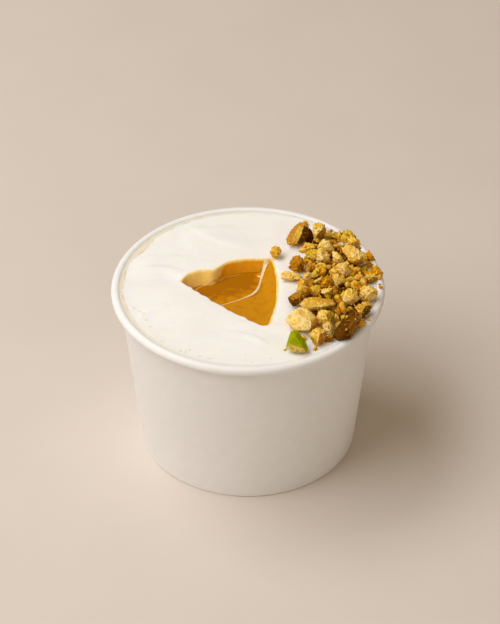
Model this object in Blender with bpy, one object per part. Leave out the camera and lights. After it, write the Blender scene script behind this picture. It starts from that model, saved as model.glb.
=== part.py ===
"""A paper tub of vanilla ice cream with a pool of coffee and a heap of chopped pistachios.

Metres, +Z up. The cup's axis is Z and the origin is the middle of the ring that it stands on.
The cup is one sheet of paper, rolled outwards at the rim and folded up inside at the foot. Its
base is a second sheet whose edge hangs in that fold. The ice cream fills the cup to just under
the rim. A three-sided hollow is scooped out of it, and coffee lies in the hollow. The pistachios
lie on the right third: the large pieces one by one, the small ones fused to one heap.
"""
import math
import random
from dataclasses import dataclass

import bmesh
import bpy
from mathutils import Euler, Matrix, Vector
from mathutils.bvhtree import BVHTree

MM = 0.001
GAP = 0.3 * MM            # clear space between neighbouring pieces
HULL_GAP = 0.4 * MM       # the same where both faces are coarse

# The cup
RIM_RADIUS = 45.0 * MM
CUP_HEIGHT = 61.0 * MM
FOOT_RADIUS = 36.3 * MM
PAPER = 0.45 * MM
HALF_PAPER = PAPER / 2
CUP_SEGMENTS = 60
ROLL_RADIUS = 1.37 * MM   # of the paper's middle line in the rim's roll
ROLL_TURN = math.radians(285.0)
ROLL_STEPS = 10
FOLD_WIDTH = 1.5 * MM     # between the middle lines of the wall and the turned-up skirt
FOLD_CORNER = 0.375 * MM
SKIRT_TOP = 4.3 * MM
SEAM_ANGLE = math.radians(99.0)
SEAM_WIDTH = math.radians(12.0)
SEAM_STEP = 0.3 * MM      # how far the overlapping ply stands proud
SEAM_BOTTOM = 1.2 * MM
SEAM_TOP = 57.2 * MM

# The cup's base
BASE_TOP = 5.5 * MM
BASE_BEND = 0.5 * MM
FLANGE_BOTTOM = 0.85 * MM

# The ice cream
CREAM_BOTTOM = BASE_TOP + GAP
CREAM_SIDE_GAP = 0.33 * MM
CREAM_CROWN = 60.5 * MM
CREAM_DOME = 0.25 * MM
CREAM_EDGE_DROP = 1.0 * MM
CREAM_EDGE_POWER = 8
CREAM_OUTER_RINGS = (0.10, 0.28, 0.50, 0.72, 0.88, 0.97, 1.0)
CREAM_INNER_RINGS = (0.14, 0.28, 0.42, 0.55, 0.67, 0.78, 0.87, 0.94, 1.0)
CREAM_SIDE_RINGS = 2

# Low swells and valleys left by the spatula: x, y, reach along x, reach along y, rise
SWELLS = (
    (-19.0 * MM, -11.0 * MM, 9.0 * MM, 7.0 * MM, 0.45 * MM),
    (13.0 * MM, -8.0 * MM, 3.0 * MM, 10.0 * MM, 0.45 * MM),
    (-30.0 * MM, 3.0 * MM, 9.0 * MM, 3.5 * MM, -0.35 * MM),
    (-12.0 * MM, 27.0 * MM, 12.0 * MM, 5.0 * MM, 0.25 * MM),
    (2.0 * MM, -31.0 * MM, 9.0 * MM, 4.0 * MM, 0.20 * MM),
)

# The hollow: three bowed sides between three corners, and a floor that ramps down to the back
HOLLOW_CENTRE = Vector((1.0, 0.0)) * MM
HOLLOW_TIP = Vector((-20.1, 2.3)) * MM
HOLLOW_BACK_CORNER = Vector((7.8, 15.4)) * MM
HOLLOW_FRONT_CORNER = Vector((5.2, -21.8)) * MM
HOLLOW_BACK_MIDDLE = Vector((-6.8, 11.7)) * MM
HOLLOW_RIGHT_MIDDLE = Vector((10.2, -2.0)) * MM
HOLLOW_LEFT_MIDDLE = Vector((-8.4, -11.3)) * MM
HOLLOW_BACK_SLOPE = 2.4
HOLLOW_RIGHT_SLOPE = 0.9
HOLLOW_LEFT_SLOPE = 2.3
HOLLOW_SOFTNESS = 0.45 * MM
HOLLOW_SIDE_STEPS = 20
RAMP_TURN = math.radians(115.0)    # the direction in which the floor falls
RAMP_START = 0.8 * MM
RAMP_SLOPE = 0.155
RAMP_LENGTH = 21.3 * MM
WELL_SLOPE = 0.33

# The coffee in the hollow
COFFEE_LEVEL = 56.3 * MM
COFFEE_CENTRE = Vector((-5.0, 4.5)) * MM
COFFEE_DIRECTIONS = 48
COFFEE_RINGS = (0.3, 0.55, 0.75, 0.9)
COFFEE_EDGE = 0.08 * MM            # its thickness at the shore
COFFEE_FILM = 0.3 * MM             # its thickness on the ramp
FILM_SHORE_DEPTH = 0.8 * MM        # how far below the lip the film ends
FILM_LEVELNESS = 0.6               # the steepest place where the film clings, as normal z

# The pistachio heap
CORE_CENTRE = Vector((29.0, 1.0)) * MM
CORE_RADIUS = 39.3 * MM            # of the core's outer edge about the cup's axis
CORE_BORDERS = (                   # straight borders: a point on each, and the way it faces
    (Vector((20.0, 0.0)) * MM, math.radians(180.0)),
    (Vector((22.5, -15.0)) * MM, math.radians(-140.0)),
    (Vector((25.0, 27.5)) * MM, math.radians(82.0)),
)
CORE_HEIGHT = 2.6 * MM
CORE_EDGE_HEIGHT = 1.5 * MM
CORE_DIRECTIONS = 24
CORE_RINGS = (0.4, 0.75)
HEAP_LEFT = 17.0 * MM
HEAP_BACK = 28.5 * MM
HEAP_RADIUS = 42.2 * MM
HEAP_PITCHES = (4.9 * MM, 6.1 * MM, 9.0 * MM)   # of the grids on which the pieces are scattered
HEAP_JITTER = 1.1 * MM
HEAP_ATTEMPTS = 4
HEAP_STEP_IN = 1.3 * MM
HEAP_SINK = 1.4 * MM               # how deep a fused piece sinks into what carries it
HEAP_TOP = 67.3 * MM
HEAP_PIECE_LENGTH = (4.4 * MM, 7.2 * MM)
HEAP_PIECE_ASPECT = (0.62, 0.9)
HEAP_SEED = 42
DROP_START = 72.0 * MM
DROP_STEP = 0.1 * MM
KERNEL_CUTS = 5
CUT_DEPTH = (0.42, 0.72)
MERGE_DISTANCE = 0.003 * MM       # of points that a union leaves beside each other


@dataclass(frozen=True)
class Kernel:
    """One large pistachio piece: its middle, its size and how it lies, in mm and degrees."""
    name: str
    x: float
    y: float
    size: tuple
    turn: float
    lean: float
    roll: float
    seed: int
    colour: tuple
    fineness: int = 1
    half: bool = False


PALE = (0.78, 0.60, 0.29)
TAN = (0.56, 0.37, 0.13)
GOLDEN = (0.66, 0.42, 0.09)
ORANGE = (0.50, 0.22, 0.03)
BROWN = (0.20, 0.09, 0.02)
OLIVE = (0.50, 0.40, 0.05)
GREEN = (0.27, 0.33, 0.01)

# From the ones that lie on the ice cream to the ones that lie on others
KERNELS = (
    Kernel("pistachio_pale_front", 16.6, -22.5, (10.4, 8.2, 5.4), 20, 4, 6, 3, PALE),
    Kernel("pistachio_green_wedge", 15.6, -34.0, (6.8, 5.8, 6.0), 8, 0, 12, 8, GREEN),
    Kernel("pistachio_front_end", 22.6, -29.9, (5.8, 5.2, 5.0), 35, 10, 0, 5, GOLDEN),
    Kernel("pistachio_dark_sliver", 16.9, -10.2, (9.6, 3.4, 2.9), 40, 5, 20, 11, BROWN),
    Kernel("pistachio_left_flake", 14.4, 2.8, (7.4, 3.4, 2.0), -8, 4, 10, 12, PALE),
    Kernel("pistachio_brown_crumbly", 16.2, 8.6, (5.4, 4.8, 4.4), 30, 12, 15, 13, ORANGE),
    Kernel("pistachio_leaning_half", 17.4, 22.8, (10.4, 6.4, 3.9), 52, -16, 58, 14, TAN, 2, True),
    Kernel("pistachio_back_olive", 24.0, 24.6, (5.4, 4.8, 5.0), 70, 20, 10, 15, OLIVE),
    Kernel("pistachio_lone_crumb", 9.3, 15.6, (4.0, 3.8, 3.4), 15, 0, 20, 16, GOLDEN),
    Kernel("pistachio_dark_half", 31.3, -25.8, (12.6, 7.0, 4.6), 58, -14, -22, 17, BROWN, 2, True),
    Kernel("pistachio_olive_round", 24.9, -21.6, (6.0, 5.0, 4.6), -15, 8, 0, 18, OLIVE),
    Kernel("pistachio_orange_outer", 37.4, -17.2, (6.6, 5.2, 4.4), 48, 20, -15, 19, ORANGE),
    Kernel("pistachio_green_tip", 39.2, -8.6, (6.4, 5.2, 4.2), -20, 8, 10, 20, GOLDEN),
    Kernel("pistachio_long_slab", 22.6, -15.0, (11.8, 4.8, 3.4), 4, 3, 15, 21, PALE),
    Kernel("pistachio_round_tan", 33.4, -12.3, (5.8, 5.2, 4.8), 0, 0, 30, 22, TAN),
    Kernel("pistachio_broad_back", 35.2, 10.6, (9.2, 6.0, 3.9), -35, 8, 5, 24, PALE),
)


def clear_scene():
    """Take every object out of the scene."""
    for scene_object in list(bpy.data.objects):
        bpy.data.objects.remove(scene_object, do_unlink=True)


def finish(name, colour, roughness):
    """A plain Principled material."""
    material = bpy.data.materials.new(name)
    material.use_nodes = True
    shader = material.node_tree.nodes["Principled BSDF"]
    shader.inputs["Base Color"].default_value = (*colour, 1.0)
    shader.inputs["Roughness"].default_value = roughness
    shader.inputs["Metallic"].default_value = 0.0
    return material


def add_object(name, bm, material, sharp_degrees=None):
    """Link a bmesh as a named object with its material, shaded smooth if an angle is given."""
    mesh = bpy.data.meshes.new(name)
    bm.to_mesh(mesh)
    bm.free()
    mesh.materials.append(material)
    if sharp_degrees is not None:
        mesh.shade_smooth()
        mesh.set_sharp_from_angle(angle=math.radians(sharp_degrees))
    new_object = bpy.data.objects.new(name, mesh)
    bpy.context.scene.collection.objects.link(new_object)
    return new_object


# ---------------------------------------------------------------------------- the paper cup

def wall_line():
    """The straight middle line of the wall: its foot, its unit direction and the roll's centre.

    The line starts above the foot's corner and touches the roll's circle on its inner side.
    """
    foot = Vector((FOOT_RADIUS - HALF_PAPER, HALF_PAPER + FOLD_CORNER))
    centre = Vector((RIM_RADIUS, CUP_HEIGHT)) - Vector((1, 1)) * (HALF_PAPER + ROLL_RADIUS)
    to_centre = centre - foot
    angle = math.atan2(to_centre.y, to_centre.x) + math.asin(ROLL_RADIUS / to_centre.length)
    return foot, Vector((math.cos(angle), math.sin(angle))), centre


def wall_radius(z, inset=0.0):
    """The radius of the wall's middle line at height z, less an inset square to the wall."""
    foot, along, _ = wall_line()
    return foot.x + (z - foot.y) * along.x / along.y - inset / along.y


def arc(centre, radius, start, turn, steps):
    """Points along an arc, both ends included."""
    angles = [start + turn * step / steps for step in range(steps + 1)]
    return [centre + radius * Vector((math.cos(a), math.sin(a))) for a in angles]


def sheet_outline(middle_line):
    """The closed outline of a sheet of paper whose middle line is given."""
    left, right = [], []
    for index, point in enumerate(middle_line):
        before = middle_line[max(index - 1, 0)]
        after = middle_line[min(index + 1, len(middle_line) - 1)]
        into = (point - before).normalized() if index else (after - point).normalized()
        out = (after - point).normalized() if after != point else into
        normal = Vector((-(into + out).y, (into + out).x)).normalized()
        reach = HALF_PAPER / max(normal.dot(Vector((-into.y, into.x))), 0.5)
        left.append(point + normal * reach)
        right.append(point - normal * reach)
    return left + right[::-1]


def turned(outline):
    """A bmesh turned about Z from a closed outline of (radius, height) points."""
    bm = bmesh.new()
    verts = [bm.verts.new((point.x, 0.0, point.y)) for point in outline]
    edges = [bm.edges.new((verts[i - 1], verts[i])) for i in range(len(verts))]
    bmesh.ops.spin(bm, geom=verts + edges, cent=(0, 0, 0), axis=(0, 0, 1),
                   angle=math.tau, steps=CUP_SEGMENTS, use_merge=True)
    bmesh.ops.remove_doubles(bm, verts=bm.verts, dist=1e-6)
    bmesh.ops.dissolve_degenerate(bm, edges=bm.edges, dist=1e-6)
    on_axis = [edge for edge in bm.edges if not edge.link_faces]
    bmesh.ops.delete(bm, geom=on_axis, context="EDGES")
    bmesh.ops.recalc_face_normals(bm, faces=bm.faces)
    return bm


def wall_middle_line():
    """From the skirt's top down, through the fold, up the wall and round the rim's roll."""
    foot, along, roll_centre = wall_line()
    outer_corner = foot - Vector((FOLD_CORNER, 0))
    skirt_foot = Vector((wall_radius(foot.y, FOLD_WIDTH), foot.y))
    inner_corner = skirt_foot + Vector((FOLD_CORNER, 0))
    skirt_top = skirt_foot + along * (SKIRT_TOP - foot.y) / along.y
    fold = arc(inner_corner, FOLD_CORNER, math.pi, math.pi / 2, 2)
    fold += arc(outer_corner, FOLD_CORNER, -math.pi / 2, math.pi / 2, 2)
    roll_start = math.atan2(along.y, along.x) + math.pi / 2
    return [skirt_top] + fold + arc(roll_centre, ROLL_RADIUS, roll_start, -ROLL_TURN, ROLL_STEPS)


def seam_strip():
    """The outer ply of the wall's overlapped seam, sunk half a sheet into the wall."""
    bm = bmesh.new()
    for z in (SEAM_BOTTOM, SEAM_TOP):
        for across in (-0.5, 0.0, 0.5):
            angle = SEAM_ANGLE + SEAM_WIDTH * across
            for inset in (0.0, -HALF_PAPER - SEAM_STEP):
                radius = wall_radius(z, inset)
                bm.verts.new((radius * math.cos(angle), radius * math.sin(angle), z))
    bmesh.ops.convex_hull(bm, input=bm.verts)
    return bm


def build_cup_wall(paper):
    """The wall with its rolled rim and folded foot, and the seam's ply joined to it."""
    wall = add_object("cup_wall", turned(sheet_outline(wall_middle_line())), paper, 40)
    strip = add_object("seam_strip", seam_strip(), paper)
    union(wall, [strip])
    return wall


def build_cup_base(paper):
    """The flat base, with its edge turned down into the foot's fold."""
    flange = BASE_TOP - HALF_PAPER - BASE_BEND
    _, along, _ = wall_line()
    bend_radius = wall_radius(flange, FOLD_WIDTH / 2)
    bend_centre = Vector((bend_radius - BASE_BEND, flange))
    lower_end = Vector((wall_radius(FLANGE_BOTTOM, FOLD_WIDTH / 2), FLANGE_BOTTOM))
    middle_line = [Vector((0, flange + BASE_BEND))]
    middle_line += arc(bend_centre, BASE_BEND, math.pi / 2, -math.pi / 2, 2)
    middle_line.append(lower_end)
    return add_object("cup_base", turned(sheet_outline(middle_line)), paper, 40)


def union(body, pieces):
    """Fuse the pieces to the body with one Boolean union, then keep only its largest shell."""
    bin_collection = bpy.data.collections.new("fused_pieces")
    bpy.context.scene.collection.children.link(bin_collection)
    for piece in pieces:
        bpy.context.scene.collection.objects.unlink(piece)
        bin_collection.objects.link(piece)
    modifier = body.modifiers.new("fuse", "BOOLEAN")
    modifier.operation = "UNION"
    modifier.operand_type = "COLLECTION"
    modifier.collection = bin_collection
    modifier.solver = "EXACT"
    bpy.context.view_layer.update()
    fused = bpy.data.meshes.new_from_object(body.evaluated_get(bpy.context.evaluated_depsgraph_get()))
    body.modifiers.remove(modifier)
    body.data = fused
    for piece in pieces:
        bpy.data.objects.remove(piece, do_unlink=True)
    bpy.data.collections.remove(bin_collection)
    keep_largest_shell(fused)


def keep_largest_shell(mesh):
    """Drop loose scraps and sealed hollows, and merge points that lie on each other."""
    bm = bmesh.new()
    bm.from_mesh(mesh)
    bmesh.ops.remove_doubles(bm, verts=bm.verts, dist=MERGE_DISTANCE)
    bmesh.ops.dissolve_degenerate(bm, edges=bm.edges, dist=MERGE_DISTANCE)
    bmesh.ops.triangulate(bm, faces=bm.faces)
    bm.verts.ensure_lookup_table()
    unseen = set(bm.verts)
    shells = []
    while unseen:
        shell = {next(iter(unseen))}
        edge_of_shell = list(shell)
        while edge_of_shell:
            vert = edge_of_shell.pop()
            for edge in vert.link_edges:
                other = edge.other_vert(vert)
                if other not in shell:
                    shell.add(other)
                    edge_of_shell.append(other)
        shells.append(shell)
        unseen -= shell
    largest = max(shells, key=len)
    scraps = [vert for vert in bm.verts if vert not in largest]
    bmesh.ops.delete(bm, geom=scraps, context="VERTS")
    bm.to_mesh(mesh)
    bm.free()


# -------------------------------------------------------- the ice cream and its coffee pool

def circle_through(first, second, third):
    """The centre and radius of the circle through three points."""
    a, b = second - first, third - first
    cross = 2 * (a.x * b.y - a.y * b.x)
    offset = Vector((b.y * a.length_squared - a.y * b.length_squared,
                     a.x * b.length_squared - b.x * a.length_squared)) / cross
    return first + offset, offset.length


HOLLOW_SIDES = (
    (*circle_through(HOLLOW_TIP, HOLLOW_BACK_MIDDLE, HOLLOW_BACK_CORNER), HOLLOW_BACK_SLOPE),
    (*circle_through(HOLLOW_BACK_CORNER, HOLLOW_RIGHT_MIDDLE, HOLLOW_FRONT_CORNER),
     HOLLOW_RIGHT_SLOPE),
    (*circle_through(HOLLOW_FRONT_CORNER, HOLLOW_LEFT_MIDDLE, HOLLOW_TIP), HOLLOW_LEFT_SLOPE),
)


def soft_min(values, softness):
    """The least of the values, rounded where two are about equal."""
    least = min(values)
    return least - softness * math.log(sum(math.exp((least - v) / softness) for v in values))


def hollow_depth(point):
    """How deep the hollow is at a point in plan, 0 outside it."""
    walls = [slope * (radius - (point - centre).length) for centre, radius, slope in HOLLOW_SIDES]
    down_ramp = Vector((math.cos(RAMP_TURN), math.sin(RAMP_TURN)))
    run = (point - HOLLOW_FRONT_CORNER).dot(down_ramp)
    floor = RAMP_START + RAMP_SLOPE * run + WELL_SLOPE * max(run - RAMP_LENGTH, 0.0)
    return max(soft_min(walls + [floor], HOLLOW_SOFTNESS), 0.0)


def levelled_height(point):
    """The height of the ice cream's surface as the spatula left it, without the hollow."""
    out = min(point.length / wall_radius(CREAM_CROWN), 1.0)
    z = CREAM_CROWN - CREAM_DOME * out**2 - CREAM_EDGE_DROP * out**CREAM_EDGE_POWER
    for x, y, reach_x, reach_y, rise in SWELLS:
        z += rise * math.exp(-((point.x - x) / reach_x)**2 - ((point.y - y) / reach_y)**2)
    return z


def cream_height(point):
    """The height of the ice cream's surface."""
    return levelled_height(point) - hollow_depth(point)


def way_to_circle(start, direction, centre, radius):
    """How far a ray inside a circle runs before it meets the circle."""
    offset = start - centre
    along = offset.dot(direction)
    return -along + math.sqrt(along**2 - offset.length_squared + radius**2)


def hollow_lip():
    """Points along the hollow's lip, corner to corner."""
    sides = zip(HOLLOW_SIDES, ((HOLLOW_TIP, HOLLOW_BACK_CORNER),
                               (HOLLOW_BACK_CORNER, HOLLOW_FRONT_CORNER),
                               (HOLLOW_FRONT_CORNER, HOLLOW_TIP)))
    lip = []
    for (centre, radius, _), (start, end) in sides:
        first = math.atan2(*(start - centre).yx)
        turn = (math.atan2(*(end - centre).yx) - first + math.pi) % math.tau - math.pi
        lip += arc(centre, radius, first, turn, HOLLOW_SIDE_STEPS)[:-1]
    return lip


def ringed_solid(rings, top_point=None, bottom_point=None):
    """A closed bmesh over rings of equally many points, capped by a fan at each end."""
    bm = bmesh.new()
    ring_verts = [[bm.verts.new(point) for point in ring] for ring in rings]
    count = len(rings[0])
    for upper, lower in zip(ring_verts, ring_verts[1:]):
        for i in range(count):
            j = (i + 1) % count
            bm.faces.new((upper[i], lower[i], lower[j], upper[j]))
    for ring, tip in ((ring_verts[0], top_point), (ring_verts[-1], bottom_point)):
        tip_vert = bm.verts.new(tip)
        for i in range(count):
            bm.faces.new((ring[i], ring[(i + 1) % count], tip_vert))
    bmesh.ops.recalc_face_normals(bm, faces=bm.faces)
    return bm


def raised(point, height):
    """A point in plan lifted to a height."""
    return Vector((point.x, point.y, height))


def build_ice_cream(material):
    """Rings round the hollow's floor and lip, out to the cup's wall and down to its base."""
    lip = hollow_lip()
    edge = []
    for point in lip:
        direction = (point - HOLLOW_CENTRE).normalized()
        radius = wall_radius(levelled_height(point) - CREAM_EDGE_DROP, HALF_PAPER + CREAM_SIDE_GAP)
        reach = way_to_circle(HOLLOW_CENTRE, direction, Vector((0, 0)), radius)
        edge.append(HOLLOW_CENTRE + direction * reach)
    rings = []
    for share in CREAM_INNER_RINGS:
        plan = [HOLLOW_CENTRE.lerp(point, share) for point in lip]
        rings.append([raised(point, cream_height(point)) for point in plan])
    for share in CREAM_OUTER_RINGS:
        plan = [start.lerp(end, share) for start, end in zip(lip, edge)]
        rings.append([raised(point, levelled_height(point)) for point in plan])
    for step in range(1, CREAM_SIDE_RINGS + 1):
        share = step / CREAM_SIDE_RINGS
        ring = []
        for point in edge:
            z = levelled_height(point) * (1 - share) + CREAM_BOTTOM * share
            ring.append(raised(point.normalized() * wall_radius(z, HALF_PAPER + CREAM_SIDE_GAP), z))
        rings.append(ring)
    top = raised(HOLLOW_CENTRE, cream_height(HOLLOW_CENTRE))
    bm = ringed_solid(rings, top, (0, 0, CREAM_BOTTOM))
    return add_object("ice_cream", bm, material, 60)


def coffee_bed(point, surface):
    """The underside of the coffee and how upright the hollow is there.

    The underside is the ice cream's surface, raised by the gap square to it.
    """
    hit, normal, _, _ = surface.ray_cast(raised(point, DROP_START), Vector((0, 0, -1)))
    return hit.z + HULL_GAP / max(normal.z, 0.2), normal.z


def is_wet(point, surface):
    """Whether coffee lies here: below its level, or as a film on the ramp and right side."""
    bed, levelness = coffee_bed(point, surface)
    on_ramp = hollow_depth(point) > FILM_SHORE_DEPTH and levelness > FILM_LEVELNESS
    return bed < COFFEE_LEVEL - COFFEE_EDGE or on_ramp


def coffee_shore(direction, surface):
    """Where the coffee ends, on a ray from the coffee's centre."""
    near, far = 0.0, HOLLOW_FRONT_CORNER.length * 2
    while far - near > 0.01 * MM:
        middle = (near + far) / 2
        wet = is_wet(COFFEE_CENTRE + direction * middle, surface)
        near, far = (middle, far) if wet else (near, middle)
    return COFFEE_CENTRE + direction * near


def build_coffee(material, surface):
    """The coffee: level in the well, a film on the ramp, with a thin edge all round."""
    turns = [math.tau * step / COFFEE_DIRECTIONS for step in range(COFFEE_DIRECTIONS)]
    shore = [coffee_shore(Vector((math.cos(turn), math.sin(turn))), surface) for turn in turns]
    upper, lower = [], []
    for share in (*COFFEE_RINGS, 1.0):
        plan = [COFFEE_CENTRE.lerp(point, share) for point in shore]
        beds = [coffee_bed(point, surface)[0] for point in plan]
        film = COFFEE_FILM if share < 1.0 else COFFEE_EDGE
        tops = [max(COFFEE_LEVEL, bed + film) for bed in beds]
        upper.append([raised(point, top) for point, top in zip(plan, tops)])
        lower.append([raised(point, bed) for point, bed in zip(plan, beds)])
    bm = ringed_solid(upper + lower[::-1], raised(COFFEE_CENTRE, COFFEE_LEVEL),
                      raised(COFFEE_CENTRE, coffee_bed(COFFEE_CENTRE, surface)[0]))
    return add_object("coffee_pool", bm, material, 50)


# --------------------------------------------------------------------------- the pistachios

def chopped_kernel(size, seed, fineness, half=False):
    """One piece chopped off a kernel: a ball cut by planes, fitted to a size about the origin."""
    draw = random.Random(seed)
    ball = bmesh.new()
    bmesh.ops.create_icosphere(ball, subdivisions=fineness, radius=1.0)
    cuts = [(Vector((0, 0, -1)), 0.15)] if half else []
    for _ in range(2 if half else KERNEL_CUTS):
        normal = Vector((draw.gauss(0, 1), draw.gauss(0, 1), draw.gauss(0, 1))).normalized()
        cuts.append((normal, draw.uniform(*CUT_DEPTH)))
    for normal, depth in cuts:
        everything = ball.verts[:] + ball.edges[:] + ball.faces[:]
        bmesh.ops.bisect_plane(ball, geom=everything, plane_co=normal * depth, plane_no=normal,
                               clear_outer=True)
    piece = bmesh.new()
    for vert in ball.verts:
        piece.verts.new(vert.co)
    ball.free()
    bmesh.ops.remove_doubles(piece, verts=piece.verts, dist=0.12)
    hull = bmesh.ops.convex_hull(piece, input=piece.verts)
    loose = [item for item in hull["geom_interior"] if isinstance(item, bmesh.types.BMVert)]
    bmesh.ops.delete(piece, geom=loose, context="VERTS")
    fit_to_size(piece, size)
    return piece


def fit_to_size(bm, size):
    """Centre a bmesh on the origin and stretch it to a size."""
    low = Vector([min(vert.co[axis] for vert in bm.verts) for axis in range(3)])
    high = Vector([max(vert.co[axis] for vert in bm.verts) for axis in range(3)])
    bmesh.ops.translate(bm, verts=bm.verts, vec=-(low + high) / 2)
    bmesh.ops.scale(bm, verts=bm.verts, vec=[size[axis] / (high - low)[axis] for axis in range(3)])


def lay(bm, x, y, turn, lean, roll):
    """Turn a piece about its middle, in radians, and hold it above the cup."""
    bmesh.ops.rotate(bm, verts=bm.verts, matrix=Euler((roll, lean, turn)).to_matrix())
    bmesh.ops.translate(bm, verts=bm.verts, vec=(x, y, DROP_START))


def tree(bm, grow=0.0, shrink=1.0):
    """A bmesh's search tree, with its faces grown outwards or its shape shrunk to its middle."""
    copy = bm.copy()
    copy.normal_update()
    if grow:
        moves = [vert.normal * grow for vert in copy.verts]
        for vert, move in zip(copy.verts, moves):
            vert.co += move
    if shrink != 1.0:
        middle = sum((vert.co for vert in copy.verts), Vector()) / len(copy.verts)
        bmesh.ops.transform(copy, matrix=Matrix.Translation(middle) @ Matrix.Scale(shrink, 4)
                            @ Matrix.Translation(-middle), verts=copy.verts)
    search_tree = BVHTree.FromBMesh(copy)
    copy.free()
    return search_tree


def drop(bm, hard, soft=(), sink=0.0):
    """Lower a piece until it meets a hard tree, or has sunk into the soft ones far enough."""
    sunk = 0.0
    while sunk < sink + DROP_STEP / 2:
        bmesh.ops.translate(bm, verts=bm.verts, vec=(0, 0, -DROP_STEP))
        own = tree(bm)
        if any(own.overlap(other) for other in hard):
            bmesh.ops.translate(bm, verts=bm.verts, vec=(0, 0, DROP_STEP))
            break
        if any(own.overlap(other) for other in soft):
            sunk += DROP_STEP


def object_tree(scene_object, grow):
    """The search tree of an object's mesh, grown outwards."""
    bm = bmesh.new()
    bm.from_mesh(scene_object.data)
    search_tree = tree(bm, grow=grow)
    bm.free()
    return search_tree


def heap_core():
    """The low mound under the small pieces, whose underside follows the ice cream."""
    plan_edge = []
    for step in range(CORE_DIRECTIONS):
        turn = math.tau * step / CORE_DIRECTIONS
        direction = Vector((math.cos(turn), math.sin(turn)))
        ways = [way_to_circle(CORE_CENTRE, direction, Vector((0, 0)), CORE_RADIUS)]
        for point, facing in CORE_BORDERS:
            outward = Vector((math.cos(facing), math.sin(facing)))
            if direction.dot(outward) > 0:
                ways.append((point - CORE_CENTRE).dot(outward) / direction.dot(outward))
        plan_edge.append(CORE_CENTRE + direction * soft_min(ways, 1.5 * MM))
    rings = []
    for share in (*CORE_RINGS, 1.0):
        plan = [CORE_CENTRE.lerp(point, share) for point in plan_edge]
        height = CORE_EDGE_HEIGHT + (CORE_HEIGHT - CORE_EDGE_HEIGHT) * (1 - share**2)
        rings.append([raised(point, levelled_height(point) + HULL_GAP + height) for point in plan])
    for share in reversed((*CORE_RINGS, 1.0)):
        plan = [CORE_CENTRE.lerp(point, share) for point in plan_edge]
        rings.append([raised(point, levelled_height(point) + HULL_GAP) for point in plan])
    under = levelled_height(CORE_CENTRE) + HULL_GAP
    return ringed_solid(rings, raised(CORE_CENTRE, under + CORE_HEIGHT),
                        raised(CORE_CENTRE, under))


def scatter_places(draw):
    """Places for the small pieces: jittered grids over the right third of the cup."""
    places = []
    for pitch in HEAP_PITCHES:
        rows = int(2 * HEAP_RADIUS / pitch) + 1
        for row in range(rows):
            for column in range(rows):
                shift = 0.5 * (row % 2)
                x = HEAP_LEFT + pitch * (column + shift) + draw.uniform(-1, 1) * HEAP_JITTER
                y = pitch * (row - rows / 2) + draw.uniform(-1, 1) * HEAP_JITTER
                if math.hypot(x, y) < HEAP_RADIUS and x > HEAP_LEFT and y < HEAP_BACK:
                    places.append(Vector((x, y)))
    return places


def small_piece(draw, place, guards, carried):
    """A small piece lowered near a place so that it sinks into the heap, or None.

    A piece that misses the heap tries again a step further in.
    """
    length = draw.uniform(*HEAP_PIECE_LENGTH)
    width, height = (length * draw.uniform(*HEAP_PIECE_ASPECT) for _ in range(2))
    seed = draw.random()
    turn, lean, roll = draw.uniform(0, math.tau), draw.gauss(0, 0.3), draw.gauss(0, 0.3)
    inwards = (CORE_CENTRE - place).normalized()
    for attempt in range(HEAP_ATTEMPTS):
        spot = place + inwards * HEAP_STEP_IN * attempt
        piece = chopped_kernel((length, width, height * 0.8), seed, 1)
        lay(piece, spot.x, spot.y, turn, lean, roll)
        drop(piece, guards, carried, HEAP_SINK)
        firm = tree(piece, shrink=0.75)
        top = max(vert.co.z for vert in piece.verts)
        if top < HEAP_TOP and any(firm.overlap(other) for other in carried):
            return piece
        piece.free()
    return None


def build_heap(material, guards):
    """The core and the small pieces that stay clear of the guards, fused to one solid."""
    draw = random.Random(HEAP_SEED)
    core = heap_core()
    carried = [tree(core)]
    heap = add_object("pistachio_heap", core, material)
    pieces = []
    for place in scatter_places(draw):
        piece = small_piece(draw, place, guards, carried)
        if piece is not None:
            carried.append(tree(piece))
            pieces.append(add_object("small_piece", piece, material))
    union(heap, pieces)
    return heap


def build_kernels(guards):
    """The large pieces, each lowered onto what carries it. Returns their grown trees."""
    trees = []
    for kernel in KERNELS:
        size = [length * MM for length in kernel.size]
        piece = chopped_kernel(size, kernel.seed, kernel.fineness, kernel.half)
        turn, lean, roll = (math.radians(angle) for angle in (kernel.turn, kernel.lean, kernel.roll))
        lay(piece, kernel.x * MM, kernel.y * MM, turn, lean, roll)
        drop(piece, guards + trees)
        trees.append(tree(piece, grow=HULL_GAP))
        add_object(kernel.name, piece, finish(kernel.name, kernel.colour, 0.7))
    return trees


def main():
    """Build the cup, then what fills it, then what lies on top."""
    clear_scene()
    paper = finish("white_paper", (0.87, 0.84, 0.80), 0.55)
    cream = finish("ice_cream", (0.93, 0.88, 0.76), 0.45)
    coffee = finish("coffee", (0.45, 0.18, 0.01), 0.12)
    nuts = finish("pistachio", (0.62, 0.42, 0.12), 0.7)
    wall = build_cup_wall(paper)
    build_cup_base(paper)
    ice_cream = build_ice_cream(cream)
    build_coffee(coffee, object_tree(ice_cream, 0.0))
    guards = [object_tree(wall, HULL_GAP), object_tree(ice_cream, HULL_GAP)]
    core = heap_core()
    core_guard = tree(core, grow=HULL_GAP)
    core.free()
    kernel_trees = build_kernels(guards + [core_guard])
    build_heap(nuts, guards + kernel_trees)


main()
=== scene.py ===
"""The looks of a paper tub of vanilla ice cream with coffee and chopped pistachios.

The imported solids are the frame. Lengths are metres, +Z is up, the cup's axis is Z and it stands
on the origin. The camera looks along +Y and down. Positions named as seen are pixels of the
500 by 624 photograph, and PhotoView finds what they lie on.
"""
import logging
import math
import random
import re
from dataclasses import dataclass, field
from enum import Enum
from functools import cached_property
from typing import Callable, ClassVar, Iterable, NamedTuple, Sequence

import bmesh
import bpy
import numpy as np
from mathutils import Euler, Matrix, Vector, noise


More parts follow.
